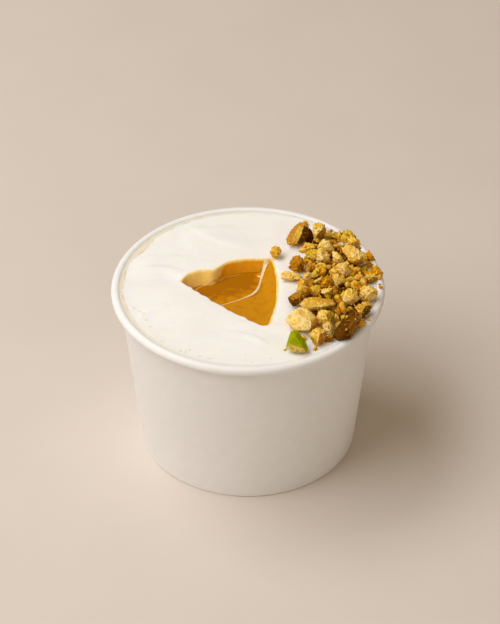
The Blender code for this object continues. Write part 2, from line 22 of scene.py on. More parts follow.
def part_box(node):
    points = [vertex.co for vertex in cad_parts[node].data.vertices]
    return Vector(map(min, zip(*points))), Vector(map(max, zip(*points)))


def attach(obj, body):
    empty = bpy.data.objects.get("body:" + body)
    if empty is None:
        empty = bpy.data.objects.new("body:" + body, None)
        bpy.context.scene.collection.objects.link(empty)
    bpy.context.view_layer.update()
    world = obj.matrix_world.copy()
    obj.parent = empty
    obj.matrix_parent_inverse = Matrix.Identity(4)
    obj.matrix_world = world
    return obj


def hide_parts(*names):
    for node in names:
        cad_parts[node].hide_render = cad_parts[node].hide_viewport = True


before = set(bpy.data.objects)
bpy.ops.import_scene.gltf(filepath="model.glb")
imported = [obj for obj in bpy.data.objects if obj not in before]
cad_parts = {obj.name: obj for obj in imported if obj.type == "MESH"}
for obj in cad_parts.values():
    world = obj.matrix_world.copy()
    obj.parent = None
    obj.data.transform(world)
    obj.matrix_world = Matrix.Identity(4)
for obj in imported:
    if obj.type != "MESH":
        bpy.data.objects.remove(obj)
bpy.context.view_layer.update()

LOG = logging.getLogger("affogato")
MM = 0.001
UP = Vector((0.0, 0.0, 1.0))
Colour = tuple[float, ...]
Pair = tuple[float, float]
Surface = Callable[[Vector], float]
Socket = bpy.types.NodeSocket
Mesh = bmesh.types.BMesh
Array = np.ndarray


def seen(*channels: int) -> Colour:
    """Turn a display colour's red, green and blue, each up to 255, into a linear colour."""
    shares = [channel / 255 for channel in channels]
    return (*(s / 12.92 if s <= 0.04045 else ((s + 0.055) / 1.055) ** 2.4 for s in shares), 1.0)


def eased(value: float, low: float, high: float) -> float:
    """Rise smoothly from 0 at low to 1 at high, or fall where low is above high."""
    share = min(max((value - low) / (high - low), 0.0), 1.0)
    return share * share * (3.0 - 2.0 * share)


def mixed(first: Colour, second: Colour, share: float) -> Colour:
    """Mix two colours, share being the second one's part."""
    return tuple(a + (b - a) * share for a, b in zip(first, second))


def soft_over(value: float, width: float) -> float:
    """The value where it is well above 0 and 0 well below, with a bend of this width between."""
    return (value + math.hypot(value, width)) / 2


def raised(plan: Vector, height: float) -> Vector:
    """A point in plan lifted to a height."""
    return Vector((plan.x, plan.y, height))


def heading(angle: float) -> Vector:
    """The unit direction in plan at an angle."""
    return Vector((math.cos(angle), math.sin(angle)))


def way_out(start: Vector, direction: Vector, radius: float) -> float:
    """How far a circle about the cup's axis lies from a place inside it, in a direction."""
    along = start.dot(direction)
    return math.sqrt(along**2 - start.length_squared + radius**2) - along


def turned_from(plan: Vector, angle: float) -> float:
    """How many degrees a place lies from a direction about the cup's axis."""
    return abs((math.degrees(math.atan2(plan.y, plan.x)) - angle + 180) % 360 - 180)


@dataclass(frozen=True)
class Ripples:
    """Smooth noise in plan: its height and wavelength, and an offset that gives other noise."""

    height: float
    wavelength: float
    offset: float = 0.0

    def at(self, plan: Vector, offset: float = 0.0) -> float:
        """Its height at a place."""
        spot = Vector((plan.x / self.wavelength, plan.y / self.wavelength, self.offset + offset))
        return self.height * noise.noise(spot)


@dataclass(frozen=True)
class Rise:
    """A share that is reached smoothly from a low value, where it is 0, to a high one."""

    share: float
    low: float
    high: float

    def at(self, value: float) -> float:
        """How much of it is reached at a value."""
        return self.share * eased(value, self.low, self.high)


# --- making meshes

def spun(outline: Sequence[Vector], columns: int, angle: float = math.tau,
         start: float = 0.0) -> Mesh:
    """Turn a closed outline about Z.

    Args:
        outline: Points as radius and height.
        columns: Steps of the turn.
        angle: How far it turns; short of a full turn, both ends are closed.
        start: Where it starts, as an angle about Z.

    Returns:
        A closed bmesh with its faces outwards.
    """
    bm = bmesh.new()
    verts = [bm.verts.new((point.x, 0.0, point.y)) for point in outline]
    for index, vert in enumerate(verts):
        bm.edges.new((verts[index - 1], vert))
    full = abs(angle - math.tau) < 1e-6
    if not full:
        bm.faces.new(verts)
    bmesh.ops.rotate(bm, verts=bm.verts, matrix=Matrix.Rotation(start, 3, "Z"))
    turning = bm.verts[:] + bm.edges[:] + bm.faces[:]
    bmesh.ops.spin(bm, geom=turning, cent=(0, 0, 0), axis=UP, angle=angle, steps=columns,
                   use_merge=full)
    bmesh.ops.remove_doubles(bm, verts=bm.verts, dist=1e-6)
    bmesh.ops.recalc_face_normals(bm, faces=bm.faces)
    return bm


def polar_sheet(rings: int, columns: int, place: Callable[[int, int], Vector]) -> Mesh:
    """Spin a row of points to a disc, then lay its rings and columns over a closed body.

    Args:
        rings: How many rings lie round the middle point; the last one is drawn to a point.
        columns: How many columns each ring has.
        place: Gives the place of a point from its ring and column.

    Returns:
        A closed bmesh with its faces outwards. Its vertex layers "ring" and "column" say
        which point each vertex is.
    """
    bm = bmesh.new()
    row = [bm.verts.new((ring, 0.0, 0.0)) for ring in range(rings + 1)]
    edges = [bm.edges.new(pair) for pair in zip(row, row[1:])]
    bmesh.ops.spin(bm, geom=row + edges, cent=(0, 0, 0), axis=UP, angle=math.tau,
                   steps=columns, use_merge=True)
    bmesh.ops.remove_doubles(bm, verts=bm.verts, dist=1e-3)
    ring_layer = bm.verts.layers.int.new("ring")
    column_layer = bm.verts.layers.int.new("column")
    for vert in bm.verts:
        ring = round(vert.co.xy.length)
        column = round(math.atan2(vert.co.y, vert.co.x) / math.tau * columns) % columns
        vert[ring_layer], vert[column_layer] = ring, column if 0 < ring < rings else 0
    for vert in bm.verts:
        vert.co = place(vert[ring_layer], vert[column_layer])
    bmesh.ops.remove_doubles(bm, verts=bm.verts, dist=1e-7)
    bmesh.ops.recalc_face_normals(bm, faces=bm.faces)
    return bm


def new_object(name: str, data: bpy.types.ID) -> bpy.types.Object:
    """Add an object to the scene.

    Args:
        name: Its name.
        data: Its mesh, light or camera.

    Returns:
        The object.
    """
    added = bpy.data.objects.new(name, data)
    bpy.context.scene.collection.objects.link(added)
    return added


def new_mesh_object(name: str, bm: Mesh, material: bpy.types.Material) -> bpy.types.Object:
    """Add a bmesh, which is freed, as an object with one material.

    Args:
        name: Its name.
        bm: Its shape.
        material: Its finish.

    Returns:
        The object.
    """
    mesh = bpy.data.meshes.new(name)
    bm.to_mesh(mesh)
    bm.free()
    mesh.materials.append(material)
    return new_object(name, mesh)


def add_piece(name: str, bm: Mesh, material: bpy.types.Material,
              stands_for: Iterable[str] = (), sharp: float | None = None) -> None:
    """Make a bmesh a named piece that rides on the cup.

    Args:
        name: The piece's name.
        bm: Its shape, which is freed.
        material: Its finish.
        stands_for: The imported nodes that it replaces.
        sharp: The angle in degrees past which an edge stays sharp; None keeps all smooth.
    """
    piece = new_mesh_object(name, bm, material)
    piece.data.shade_smooth()
    if sharp is not None:
        piece.data.set_sharp_from_angle(angle=math.radians(sharp))
    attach(piece, "root")
    if stands_for:
        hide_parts(*stands_for)
    LOG.info("%s: %d faces", name, len(piece.data.polygons))


# --- materials

class ShaderTree:
    """A shader node tree with short ways to add nodes and join them."""

    def __init__(self, tree: bpy.types.NodeTree) -> None:
        """Keep the tree to add to."""
        self.tree = tree

    def add(self, kind: str, inputs: dict | None = None, **settings: object) -> bpy.types.Node:
        """Add a node.

        Args:
            kind: The node's type without its ShaderNode prefix.
            inputs: Values or sockets for its inputs, by name or number.
            **settings: Its properties.

        Returns:
            The node.
        """
        node = self.tree.nodes.new("ShaderNode" + kind)
        for name, value in settings.items():
            setattr(node, name, value)
        for name, value in (inputs or {}).items():
            self.feed(node.inputs[name], value)
        return node

    def feed(self, socket: Socket, value: object) -> None:
        """Link a socket to another one, or set its value.

        Args:
            socket: The socket.
            value: The other socket, a number or a colour.
        """
        if isinstance(value, Socket):
            self.tree.links.new(value, socket)
        else:
            socket.default_value = value

    def object_place(self) -> Socket:
        """The point's place in the object, which is its place in the frame."""
        return self.add("TexCoord").outputs["Object"]

    def attribute(self, name: str, output: str = "Fac") -> Socket:
        """A value or colour painted on the mesh."""
        return self.add("Attribute", attribute_name=name).outputs[output]

    def sum_up(self, operation: str, first: object, second: object = 0.0) -> Socket:
        """The result of a math operation on one or two values."""
        return self.add("Math", {0: first, 1: second}, operation=operation).outputs[0]

    def span(self, value: object, low: float, high: float, to_low: float = 0.0,
             to_high: float = 1.0) -> Socket:
        """Map a value's range, low to high, smoothly and clamped to another one."""
        limits = {"From Min": low, "From Max": high, "To Min": to_low, "To Max": to_high}
        return self.add("MapRange", {"Value": value, **limits}, interpolation_type="SMOOTHSTEP").outputs[0]

    def blend(self, share: object, first: object, second: object) -> Socket:
        """Mix two colours, share being the second one's part."""
        return self.add("Mix", {0: share, 6: first, 7: second}, data_type="RGBA").outputs[2]

    def noise(self, scale: object, detail: float = 2.0) -> Socket:
        """Soft noise around a half, with a few finer octaves."""
        inputs = {"Vector": self.object_place(), "Scale": scale, "Detail": detail}
        return self.add("TexNoise", inputs).outputs["Fac"]

    def clouds(self, wavelength: float, detail: float = 2.0) -> Socket:
        """Soft noise with a size in metres."""
        return self.noise(1.0 / wavelength, detail)

    def effect(self, effect: "Effect", *values: object) -> Socket:
        """Place a shared effect with this material's own values, and give its output."""
        inputs = dict(enumerate(values))
        return self.add("Group", inputs, node_tree=effect_tree(effect)).outputs[0]

    def mottle(self, colour: Colour, tint: Colour, scale: float, amount: float) -> Socket:
        """A colour with soft blotches of a tint, amount being the tint's greatest share."""
        return self.effect(Effect.MOTTLE, colour, tint, scale, amount)

    def grain(self, coarse: float, fine: float, share: float) -> Socket:
        """Relief of a coarse and a fine scale of grain, share being the fine one's part."""
        return self.effect(Effect.GRAIN, coarse, fine, share)

    def bump(self, height: object, distance: float, strength: float = 1.0,
             under: Socket | None = None) -> Socket:
        """Turn a height, as a share of a distance, into a normal laid over the one under it."""
        inputs = {"Height": height, "Distance": distance, "Strength": strength}
        return self.add("Bump", inputs | ({"Normal": under} if under else {})).outputs["Normal"]


class Effect(Enum):
    """The effects that several materials share."""

    GRAIN = "fine_grain"
    MOTTLE = "mottled_colour"


def effect_tree(effect: Effect) -> bpy.types.NodeTree:
    """Find a shared effect's node group, and build it the first time.

    Args:
        effect: Which effect.

    Returns:
        Its node group.
    """
    known = bpy.data.node_groups.get(effect.value)
    if known:
        return known
    tree = bpy.data.node_groups.new(effect.value, "ShaderNodeTree")
    build = {Effect.GRAIN: build_grain, Effect.MOTTLE: build_mottle}[effect]
    build(ShaderTree(tree))
    return tree


def group_ends(shader: ShaderTree, inputs: dict[str, object],
               output: tuple[str, str]) -> tuple[list[Socket], Socket]:
    """Give a node group its sockets.

    Args:
        shader: The group's tree.
        inputs: Each input's name and its value at first: a number or a colour.
        output: The output's name and socket type.

    Returns:
        The input sockets, and the socket that the result goes into.
    """
    for name, value in inputs.items():
        kind = "NodeSocketFloat" if isinstance(value, float) else "NodeSocketColor"
        socket = shader.tree.interface.new_socket(name, in_out="INPUT", socket_type=kind)
        socket.default_value = value
    shader.tree.interface.new_socket(output[0], in_out="OUTPUT", socket_type=output[1])
    start = shader.tree.nodes.new("NodeGroupInput")
    end = shader.tree.nodes.new("NodeGroupOutput")
    return [start.outputs[name] for name in inputs], end.inputs[0]


def build_grain(shader: ShaderTree) -> None:
    """Relief of two sizes of grain, for bumps.

    Args:
        shader: The effect's tree.
    """
    inputs = {"Coarse Scale": 500.0, "Fine Scale": 3000.0, "Fine Share": 0.4}
    (coarse, fine, share), end = group_ends(shader, inputs, ("Height", "NodeSocketFloat"))
    fine_part = shader.sum_up("MULTIPLY", shader.noise(fine), share)
    shader.feed(end, shader.sum_up("ADD", shader.noise(coarse), fine_part))


def build_mottle(shader: ShaderTree) -> None:
    """A colour with soft blotches of another one.

    Args:
        shader: The effect's tree.
    """
    inputs = {"Color": seen(255, 255, 255), "Tint": seen(128, 128, 128), "Scale": 100.0, "Amount": 0.5}
    (colour, tint, scale, amount), end = group_ends(shader, inputs, ("Color", "NodeSocketColor"))
    blotches = shader.span(shader.noise(scale, 3.0), 0.36, 0.66)
    shader.feed(end, shader.blend(shader.sum_up("MULTIPLY", blotches, amount), colour, tint))


class Finish:
    """A finish: what each kind lays out in its tree feeds the Principled shader's inputs."""

    name: str
    settings: ClassVar[dict[str, object]]

    def lay_out(self, tree: ShaderTree) -> dict[str, Socket]:
        """Lay out the nodes, and give the sockets that feed the shader's inputs."""
        raise NotImplementedError

    def material(self) -> bpy.types.Material:
        """Build the material.

        Returns:
            The material.
        """
        material = bpy.data.materials.new(self.name)
        material.use_nodes = True
        tree = ShaderTree(material.node_tree)
        shader = material.node_tree.nodes["Principled BSDF"]
        for name, value in (self.settings | self.lay_out(tree)).items():
            tree.feed(shader.inputs[name], value)
        return material


@dataclass(frozen=True)
class PaperFinish(Finish):
    """White coated paperboard, a little warm where its fibres show."""

    name: str = "white_paperboard"
    white: Colour = seen(248, 246, 244)
    fibre: Colour = seen(244, 242, 239)
    fibre_depth: float = 0.012 * MM
    settings = {"Roughness": 0.5, "Specular IOR Level": 0.35, "Subsurface Weight": 0.2,
                "Subsurface Radius": (1.0, 0.95, 0.9), "Subsurface Scale": 1.2 * MM}

    def lay_out(self, tree: ShaderTree) -> dict[str, Socket]:
        """Lay out the mottled white and the fibres."""
        return {"Base Color": tree.mottle(self.white, self.fibre, 260.0, 0.45),
                "Normal": tree.bump(tree.grain(700.0, 4200.0, 0.5), self.fibre_depth, 0.6)}


@dataclass(frozen=True)
class CreamFinish(Finish):
    """Vanilla ice cream: smooth, a little translucent, stained where coffee has run."""

    name: str = "vanilla_ice_cream"
    cream: Colour = seen(253, 250, 245)
    shade: Colour = seen(251, 246, 236)
    melt: Colour = seen(247, 233, 210)
    tan: Colour = seen(252, 210, 112)
    amber: Colour = seen(236, 162, 2)
    ice_pit: Colour = seen(236, 212, 164)
    speck: Colour = seen(222, 192, 134)
    pit_scale: float = 620.0
    pit_depth: float = 0.1 * MM
    grain_depth: float = 0.03 * MM
    settings = {"Roughness": 0.42, "Specular IOR Level": 0.2, "Subsurface Weight": 0.45,
                "Subsurface Radius": (1.0, 0.75, 0.45), "Subsurface Scale": 2.0 * MM}

    def pits(self, tree: ShaderTree) -> Socket:
        """Where ice crystals left pits, in patches.

        Args:
            tree: The material's tree.

        Returns:
            Each pit's share, 1 in its middle.
        """
        cells = tree.add("TexVoronoi", {"Vector": tree.object_place(), "Scale": self.pit_scale})
        pits = tree.span(cells.outputs["Distance"], 0.3, 0.12)
        pits = tree.sum_up("MULTIPLY", pits, tree.attribute("pits"))
        return tree.sum_up("MULTIPLY", pits, tree.span(tree.clouds(2.2 * MM), 0.5, 0.6))

    def lay_out(self, tree: ShaderTree) -> dict[str, Socket]:
        """Lay out the cream, what has soaked into it, its pits and its grain.

        Args:
            tree: The material's tree.

        Returns:
            The sockets for the shader's inputs.
        """
        colour = tree.mottle(self.cream, self.shade, 90.0, 0.6)
        colour = tree.blend(tree.attribute("melt"), colour, self.melt)
        uneven = tree.span(tree.clouds(1.6 * MM, 3.0), 0.3, 0.7, 0.85, 1.15)
        stain = tree.sum_up("MULTIPLY", tree.attribute("stain"), uneven)
        colour = tree.blend(tree.span(stain, 0.05, 0.5), colour, self.tan)
        colour = tree.blend(tree.span(stain, 0.55, 0.95), colour, self.amber)
        pits = self.pits(tree)
        colour = tree.blend(tree.sum_up("MULTIPLY", pits, 0.85), colour, self.ice_pit)
        patches = tree.span(tree.clouds(0.6 * MM), 0.3, 0.6, 0.25, 1.0)
        specks = tree.sum_up("MULTIPLY", tree.attribute("specks"), patches)
        normal = tree.bump(tree.grain(900.0, 3500.0, 0.35), self.grain_depth, 0.45)
        normal = tree.bump(tree.sum_up("SUBTRACT", 1.0, pits), self.pit_depth, 1.0, normal)
        return {"Base Color": tree.blend(specks, colour, self.speck), "Normal": normal}


@dataclass(frozen=True)
class CoffeeFinish(Finish):
    """Thin amber coffee: light where it is a film, brown where it is deep."""

    name: str = "amber_coffee"
    film: Colour = seen(205, 138, 10)
    body: Colour = seen(194, 122, 1)
    deep: Colour = seen(172, 106, 2)
    ripple_depth: float = 0.03 * MM
    settings = {"Roughness": 0.12, "IOR": 1.36, "Specular IOR Level": 0.2}

    def lay_out(self, tree: ShaderTree) -> dict[str, Socket]:
        """Lay out the colour by depth, swirled, and faint ripples.

        Args:
            tree: The material's tree.

        Returns:
            The sockets for the shader's inputs.
        """
        swirl = tree.span(tree.clouds(2.8 * MM, 3.0), 0.3, 0.7, -0.3, 0.3)
        depth = tree.sum_up("ADD", tree.attribute("depth"), swirl)
        colour = tree.blend(tree.span(depth, 0.12, 0.45), self.film, self.body)
        return {"Base Color": tree.blend(tree.span(depth, 0.5, 0.85), colour, self.deep),
                "Normal": tree.bump(tree.grain(350.0, 1300.0, 0.3), self.ripple_depth, 0.3)}


@dataclass(frozen=True)
class StrandFinish(Finish):
    """Pale threads on the coffee: melted cream, and painted highlights."""

    name: str
    cream: Colour
    soaked: Colour
    settings = {"Roughness": 0.18}

    def lay_out(self, tree: ShaderTree) -> dict[str, Socket]:
        """Lay out the mottled cream."""
        return {"Base Color": tree.mottle(self.cream, self.soaked, 700.0, 0.8)}


@dataclass(frozen=True)
class NutFinish(Finish):
    """Chopped pistachio: its colours are painted on the mesh, its crumb is relief."""

    name: str = "chopped_pistachio"
    roasted: Colour = seen(178, 116, 8)
    meal: Colour = seen(250, 212, 110)
    crumb_depth: float = 0.08 * MM
    settings = {"Roughness": 0.7, "Specular IOR Level": 0.04, "Subsurface Weight": 0.06,
                "Subsurface Radius": (1.0, 0.6, 0.2), "Subsurface Scale": 0.6 * MM}

    def lay_out(self, tree: ShaderTree) -> dict[str, Socket]:
        """Lay out roasted specks and, on the paler pieces, specks of meal.

        Args:
            tree: The material's tree.

        Returns:
            The sockets for the shader's inputs.
        """
        painted = tree.attribute("tone", "Color")
        specks = tree.span(tree.clouds(0.9 * MM, 3.0), 0.54, 0.68, 0.0, 0.28)
        colour = tree.blend(specks, painted, self.roasted)
        meal = tree.span(tree.clouds(1.1 * MM, 3.0), 0.44, 0.32, 0.0, 0.38)
        blue = tree.add("SeparateColor", {"Color": painted}).outputs["Blue"]
        meal = tree.sum_up("MULTIPLY", meal, tree.span(blue, 0.0, 0.05))
        return {"Base Color": tree.blend(meal, colour, self.meal),
                "Normal": tree.bump(tree.grain(900.0, 2600.0, 0.6), self.crumb_depth, 0.8)}


@dataclass(frozen=True)
class FloorFinish(Finish):
    """Seamless matt paper under the cup."""

    name: str = "pale_floor"
    beige: Colour = seen(220, 209, 199)
    shade: Colour = seen(217, 206, 196)
    settings = {"Roughness": 0.9, "Specular IOR Level": 0.1}

    def lay_out(self, tree: ShaderTree) -> dict[str, Socket]:
        """Lay out the mottled paper."""
        return {"Base Color": tree.mottle(self.beige, self.shade, 30.0, 0.5)}


# --- studio and camera

@dataclass
class PhotoView:
    """The photograph's camera: a long lens that looks down on the cup."""

    elevation: float = math.radians(37.65)
    distance: float = 861.3 * MM
    aim: Vector = field(default_factory=lambda: Vector((0.67, 0.0, 49.56)) * MM)
    lens: float = 150.0
    sensor: float = 36.0
    picture: tuple[int, int] = (500, 624)
    first_guess: float = 60.0 * MM
    rounds: int = 12
    pace: float = 0.6

    @property
    def back(self) -> Vector:
        """The unit direction from the aim to the camera."""
        return Vector((0.0, -math.cos(self.elevation), math.sin(self.elevation)))

    @property
    def place(self) -> Vector:
        """Where the camera is."""
        return self.aim + self.back * self.distance

    @property
    def pixels_per_metre(self) -> float:
        """How large the aim's surroundings are seen."""
        return self.lens / self.sensor * self.picture[1] / self.distance

    def plan_at(self, spot: Sequence[float], height: float) -> Vector:
        """Find the place in plan of what a pixel shows at a height.

        Args:
            spot: The pixel.
            height: The height.

        Returns:
            The place.
        """
        focal = self.lens / self.sensor * self.picture[1]
        up = Vector((0.0, math.sin(self.elevation), math.cos(self.elevation)))
        across = Vector((1.0, 0.0, 0.0)) * (spot[0] - self.picture[0] / 2) / focal
        ray = -self.back + across + up * (self.picture[1] / 2 - spot[1]) / focal
        return (self.place + ray * (height - self.place.z) / ray.z).xy

    def plan_on(self, spot: Sequence[float], surface: Surface) -> Vector:
        """Find the place in plan where a pixel's line of sight meets a surface near the cup's top.

        Args:
            spot: The pixel.
            surface: Gives the surface's height at a place in plan.

        Returns:
            The place.
        """
        height = self.first_guess
        for _ in range(self.rounds):
            height += self.pace * (surface(self.plan_at(spot, height)) - height)
        return self.plan_at(spot, height)

    def build(self) -> None:
        """Add the camera."""
        data = bpy.data.cameras.new("photo_view")
        data.lens = self.lens
        data.sensor_width = self.sensor
        data.clip_start = 0.05
        camera = new_object("photo_view", data)
        camera.location = self.place
        camera.rotation_euler = (math.pi / 2 - self.elevation, 0.0, 0.0)
        bpy.context.scene.camera = camera


@dataclass(frozen=True)
class SoftLight:
    """A round soft light: where it comes from, in degrees, its size and its power."""

    name: str
    turn: float
    height: float
    size: float
    power: float
    distance: float = 1.1
    colour: tuple[float, float, float] = (0.97, 0.98, 1.0)

    def build(self) -> None:
        """Add the light."""
        data = bpy.data.lights.new(self.name, "AREA")
        data.shape = "DISK"
        data.size = self.size
        data.energy = self.power
        data.color = self.colour
        light = new_object(self.name, data)
        direction = Vector((1.0, 0.0, 0.0))
        direction.rotate(Euler((0.0, -math.radians(self.height), math.radians(self.turn))))
        light.location = direction * self.distance
        light.rotation_euler = direction.to_track_quat("Z", "Y").to_euler()


@dataclass
class Studio:
    """A pale floor, soft lights from the left and a warm room."""

    floor_side: float = 6.0
    lights: tuple[SoftLight, ...] = (SoftLight("front_left", 205.0, 50.0, 0.9, 7.0),
                                     SoftLight("back_left", 150.0, 60.0, 0.55, 3.8),
                                     SoftLight("front_fill", 300.0, 30.0, 1.2, 1.2))
    room_colour: Colour = (1.0, 0.784, 0.505, 1.0)
    room_strength: float = 0.282

    def build(self) -> None:
        """Add the floor, the lights and the room."""
        self.build_floor()
        for light in self.lights:
            light.build()
        world = bpy.data.worlds.new("room")
        world.use_nodes = True
        background = world.node_tree.nodes["Background"]
        background.inputs["Color"].default_value = self.room_colour
        background.inputs["Strength"].default_value = self.room_strength
        bpy.context.scene.world = world
        bpy.context.scene.view_settings.view_transform = "Standard"

    def build_floor(self) -> None:
        """Add the floor that the cup stands on."""
        bm = bmesh.new()
        bmesh.ops.create_grid(bm, x_segments=8, y_segments=8, size=self.floor_side / 2)
        new_mesh_object("floor", bm, FloorFinish().material())


# --- the paper cup

@dataclass
class PaperCup:
    """The tub: one sheet of paper rolled out at the rim and folded up at the foot."""

    rim_radius: float = 45.0 * MM
    height: float = 61.0 * MM
    foot_radius: float = 36.3 * MM
    paper: float = 0.45 * MM
    roll_radius: float = 1.37 * MM
    roll_turn: float = math.radians(285.0)
    fold_width: float = 1.5 * MM
    fold_corner: float = 0.375 * MM
    skirt_top: float = 4.3 * MM
    seam_angle: float = math.radians(99.0)
    seam_width: float = math.radians(12.0)
    seam_step: float = 0.3 * MM
    seam_ends: tuple[float, float] = (1.2 * MM, 57.2 * MM)
    columns: int = 240
    seam_columns: int = 16
    roll_steps: int = 26
    fold_steps: int = 5
    straight_steps: int = 8

    @property
    def half_paper(self) -> float:
        """Half the paper's thickness."""
        return self.paper / 2

    @cached_property
    def roll_centre(self) -> Vector:
        """The middle of the rim's roll, as radius and height."""
        corner = Vector((self.rim_radius, self.height))
        return corner - Vector((1, 1)) * (self.half_paper + self.roll_radius)

    @cached_property
    def foot(self) -> Vector:
        """Where the wall's straight middle line starts, as radius and height."""
        return Vector((self.foot_radius - self.half_paper, self.half_paper + self.fold_corner))

    @cached_property
    def along(self) -> Vector:
        """The unit direction up the wall, which touches the roll on its inner side."""
        to_centre = self.roll_centre - self.foot
        angle = math.atan2(to_centre.y, to_centre.x) + math.asin(self.roll_radius / to_centre.length)
        return Vector((math.cos(angle), math.sin(angle)))

    def wall_radius(self, height: float, inset: float = 0.0) -> float:
        """The wall's radius at a height, this far inside the middle line, square to the wall."""
        run = (height - self.foot.y) * self.along.x / self.along.y
        return self.foot.x + run - inset / self.along.y

    def clear_radius(self, height: float) -> float:
        """How far out the space inside the cup reaches at a height, up past the roll.

        Args:
            height: The height.

        Returns:
            The radius.
        """
        rise = max(height - self.roll_centre.y, 0.0)
        reach = self.roll_radius + self.half_paper
        if rise == 0.0:
            return self.wall_radius(height, self.half_paper)
        return self.roll_centre.x - math.sqrt(reach**2 - rise**2)

    def rest_height(self, plan: Vector) -> float:
        """The height of the rim's roll over a place in plan, or the floor's where there is none.

        Args:
            plan: The place.

        Returns:
            The height.
        """
        out = plan.length - self.roll_centre.x
        reach = self.roll_radius + self.half_paper
        return self.roll_centre.y + math.sqrt(reach**2 - out**2) if abs(out) < reach else 0.0

    @staticmethod
    def arc(centre: Vector, radius: float, start: float, turn: float, steps: int) -> list[Vector]:
        """Points along an arc, both ends included, from an angle on through a turn."""
        angles = [start + turn * step / steps for step in range(steps + 1)]
        return [centre + radius * heading(angle) for angle in angles]

    def middle_line(self) -> list[Vector]:
        """List the paper's middle line, from the skirt through the fold and wall to the roll.

        Returns:
            Its points, as radius and height.
        """
        foot, along = self.foot, self.along
        outer_corner = foot - Vector((self.fold_corner, 0))
        skirt_foot = Vector((self.wall_radius(foot.y, self.fold_width), foot.y))
        inner_corner = skirt_foot + Vector((self.fold_corner, 0))
        skirt_top = skirt_foot + along * (self.skirt_top - foot.y) / along.y
        quarter = math.pi / 2
        line = [skirt_top]
        line += self.arc(inner_corner, self.fold_corner, math.pi, quarter, self.fold_steps)
        line += self.arc(outer_corner, self.fold_corner, -quarter, quarter, self.fold_steps)
        straight_end = self.roll_centre + self.roll_radius * Vector((-along.y, along.x))
        steps = self.straight_steps
        line += [line[-1].lerp(straight_end, step / steps) for step in range(1, steps)]
        start = math.atan2(along.y, along.x) + quarter
        return line + self.arc(self.roll_centre, self.roll_radius, start, -self.roll_turn,
                               self.roll_steps)

    def outline(self) -> list[Vector]:
        """Give the middle line the paper's thickness, as a closed outline.

        Returns:
            Its points, as radius and height.
        """
        line = self.middle_line()
        left, right = [], []
        for index, point in enumerate(line):
            before, after = line[max(index - 1, 0)], line[min(index + 1, len(line) - 1)]
            normal = Vector((-(after - before).y, (after - before).x)).normalized()
            left.append(point + normal * self.half_paper)
            right.append(point - normal * self.half_paper)
        return left + right[::-1]

    def seam_outline(self) -> list[Vector]:
        """The outer ply of the seam, as a closed outline sunk half into the wall.

        Returns:
            Its points, as radius and height.
        """
        low, high = self.seam_ends
        proud, bevel = -self.half_paper - self.seam_step, self.seam_step / 2
        spots = ((low, 0.0), (high, 0.0), (high, proud + bevel), (high - bevel, proud),
                 (low + bevel, proud), (low, proud + bevel))
        return [Vector((self.wall_radius(height, inset), height)) for height, inset in spots]

    def build(self) -> None:
        """Make the wall and its seam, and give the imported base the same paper."""
        paper = PaperFinish().material()
        add_piece("paper_wall", spun(self.outline(), self.columns), paper,
                  ["cup_wall"], sharp=50)
        start = self.seam_angle - self.seam_width / 2
        seam = spun(self.seam_outline(), self.seam_columns, self.seam_width, start)
        add_piece("paper_seam", seam, paper, sharp=30)
        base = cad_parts["cup_base"]
        base.data.materials.clear()
        base.data.materials.append(paper)


# --- the ice cream

@dataclass(frozen=True)
class Swell:
    """A low rise or dip that the spatula left, in mm."""

    x: float
    y: float
    reach_x: float
    reach_y: float
    rise: float

    def height(self, plan: Vector) -> float:
        """Its height over a place in plan."""
        off = ((plan.x - self.x * MM) / self.reach_x) ** 2 + ((plan.y - self.y * MM) / self.reach_y) ** 2
        return self.rise * MM * math.exp(-off / MM**2)


@dataclass(frozen=True)
class Stroke:
    """A narrow curved ridge that the spatula's edge left, in mm and degrees about its centre."""

    x: float
    y: float
    radius: float
    start: float
    end: float
    width: float
    rise: float
    inner_slope: ClassVar[float] = 2.2

    def height(self, plan: Vector) -> float:
        """Its height over a place in plan: steep outside, drawn out inside, faded at the ends.

        Args:
            plan: The place.

        Returns:
            The height.
        """
        away = plan - Vector((self.x, self.y)) * MM
        off = (away.length - self.radius * MM) / (self.width * MM)
        if abs(off) > 3.0:
            return 0.0
        gone = turned_from(away, (self.start + self.end) / 2) / ((self.end - self.start) / 2)
        side = math.exp(-((off if off > 0 else off / self.inner_slope) ** 2))
        return self.rise * MM * side * eased(gone, 1.0, 0.5)


@dataclass(frozen=True)
class Side:
    """One bowed side of the hollow, through three points in mm."""

    start: Pair
    middle: Pair
    end: Pair
    slope: float
    roundness: float

    def circle(self) -> tuple[Vector, float]:
        """Find the centre and the radius of the circle through the three points.

        Returns:
            The centre and the radius.
        """
        first, second, third = (Vector(point) * MM for point in (self.start, self.middle, self.end))
        a, b = second - first, third - first
        cross = 2 * (a.x * b.y - a.y * b.x)
        offset = Vector((b.y * a.length_squared - a.y * b.length_squared,
                         a.x * b.length_squared - b.x * a.length_squared)) / cross
        return first + offset, offset.length


TIP, BACK_CORNER, FRONT_CORNER = (-21.9, 2.6), (8.8, 15.0), (6.8, -22.6)
BACK_LIP = ((-21.9, 0.2), (-21.0, 1.5), (-19.5, 1.8), (-15.9, 1.0), (-13.9, -0.2), (-11.9, -1.5),
            (-10.6, -1.3), (-8.6, 0.0), (-7.4, 0.8), (-4.3, 1.1), (-1.3, 0.9), (2.0, 0.4), (5.3, 0.0),
            (8.8, 0.0))


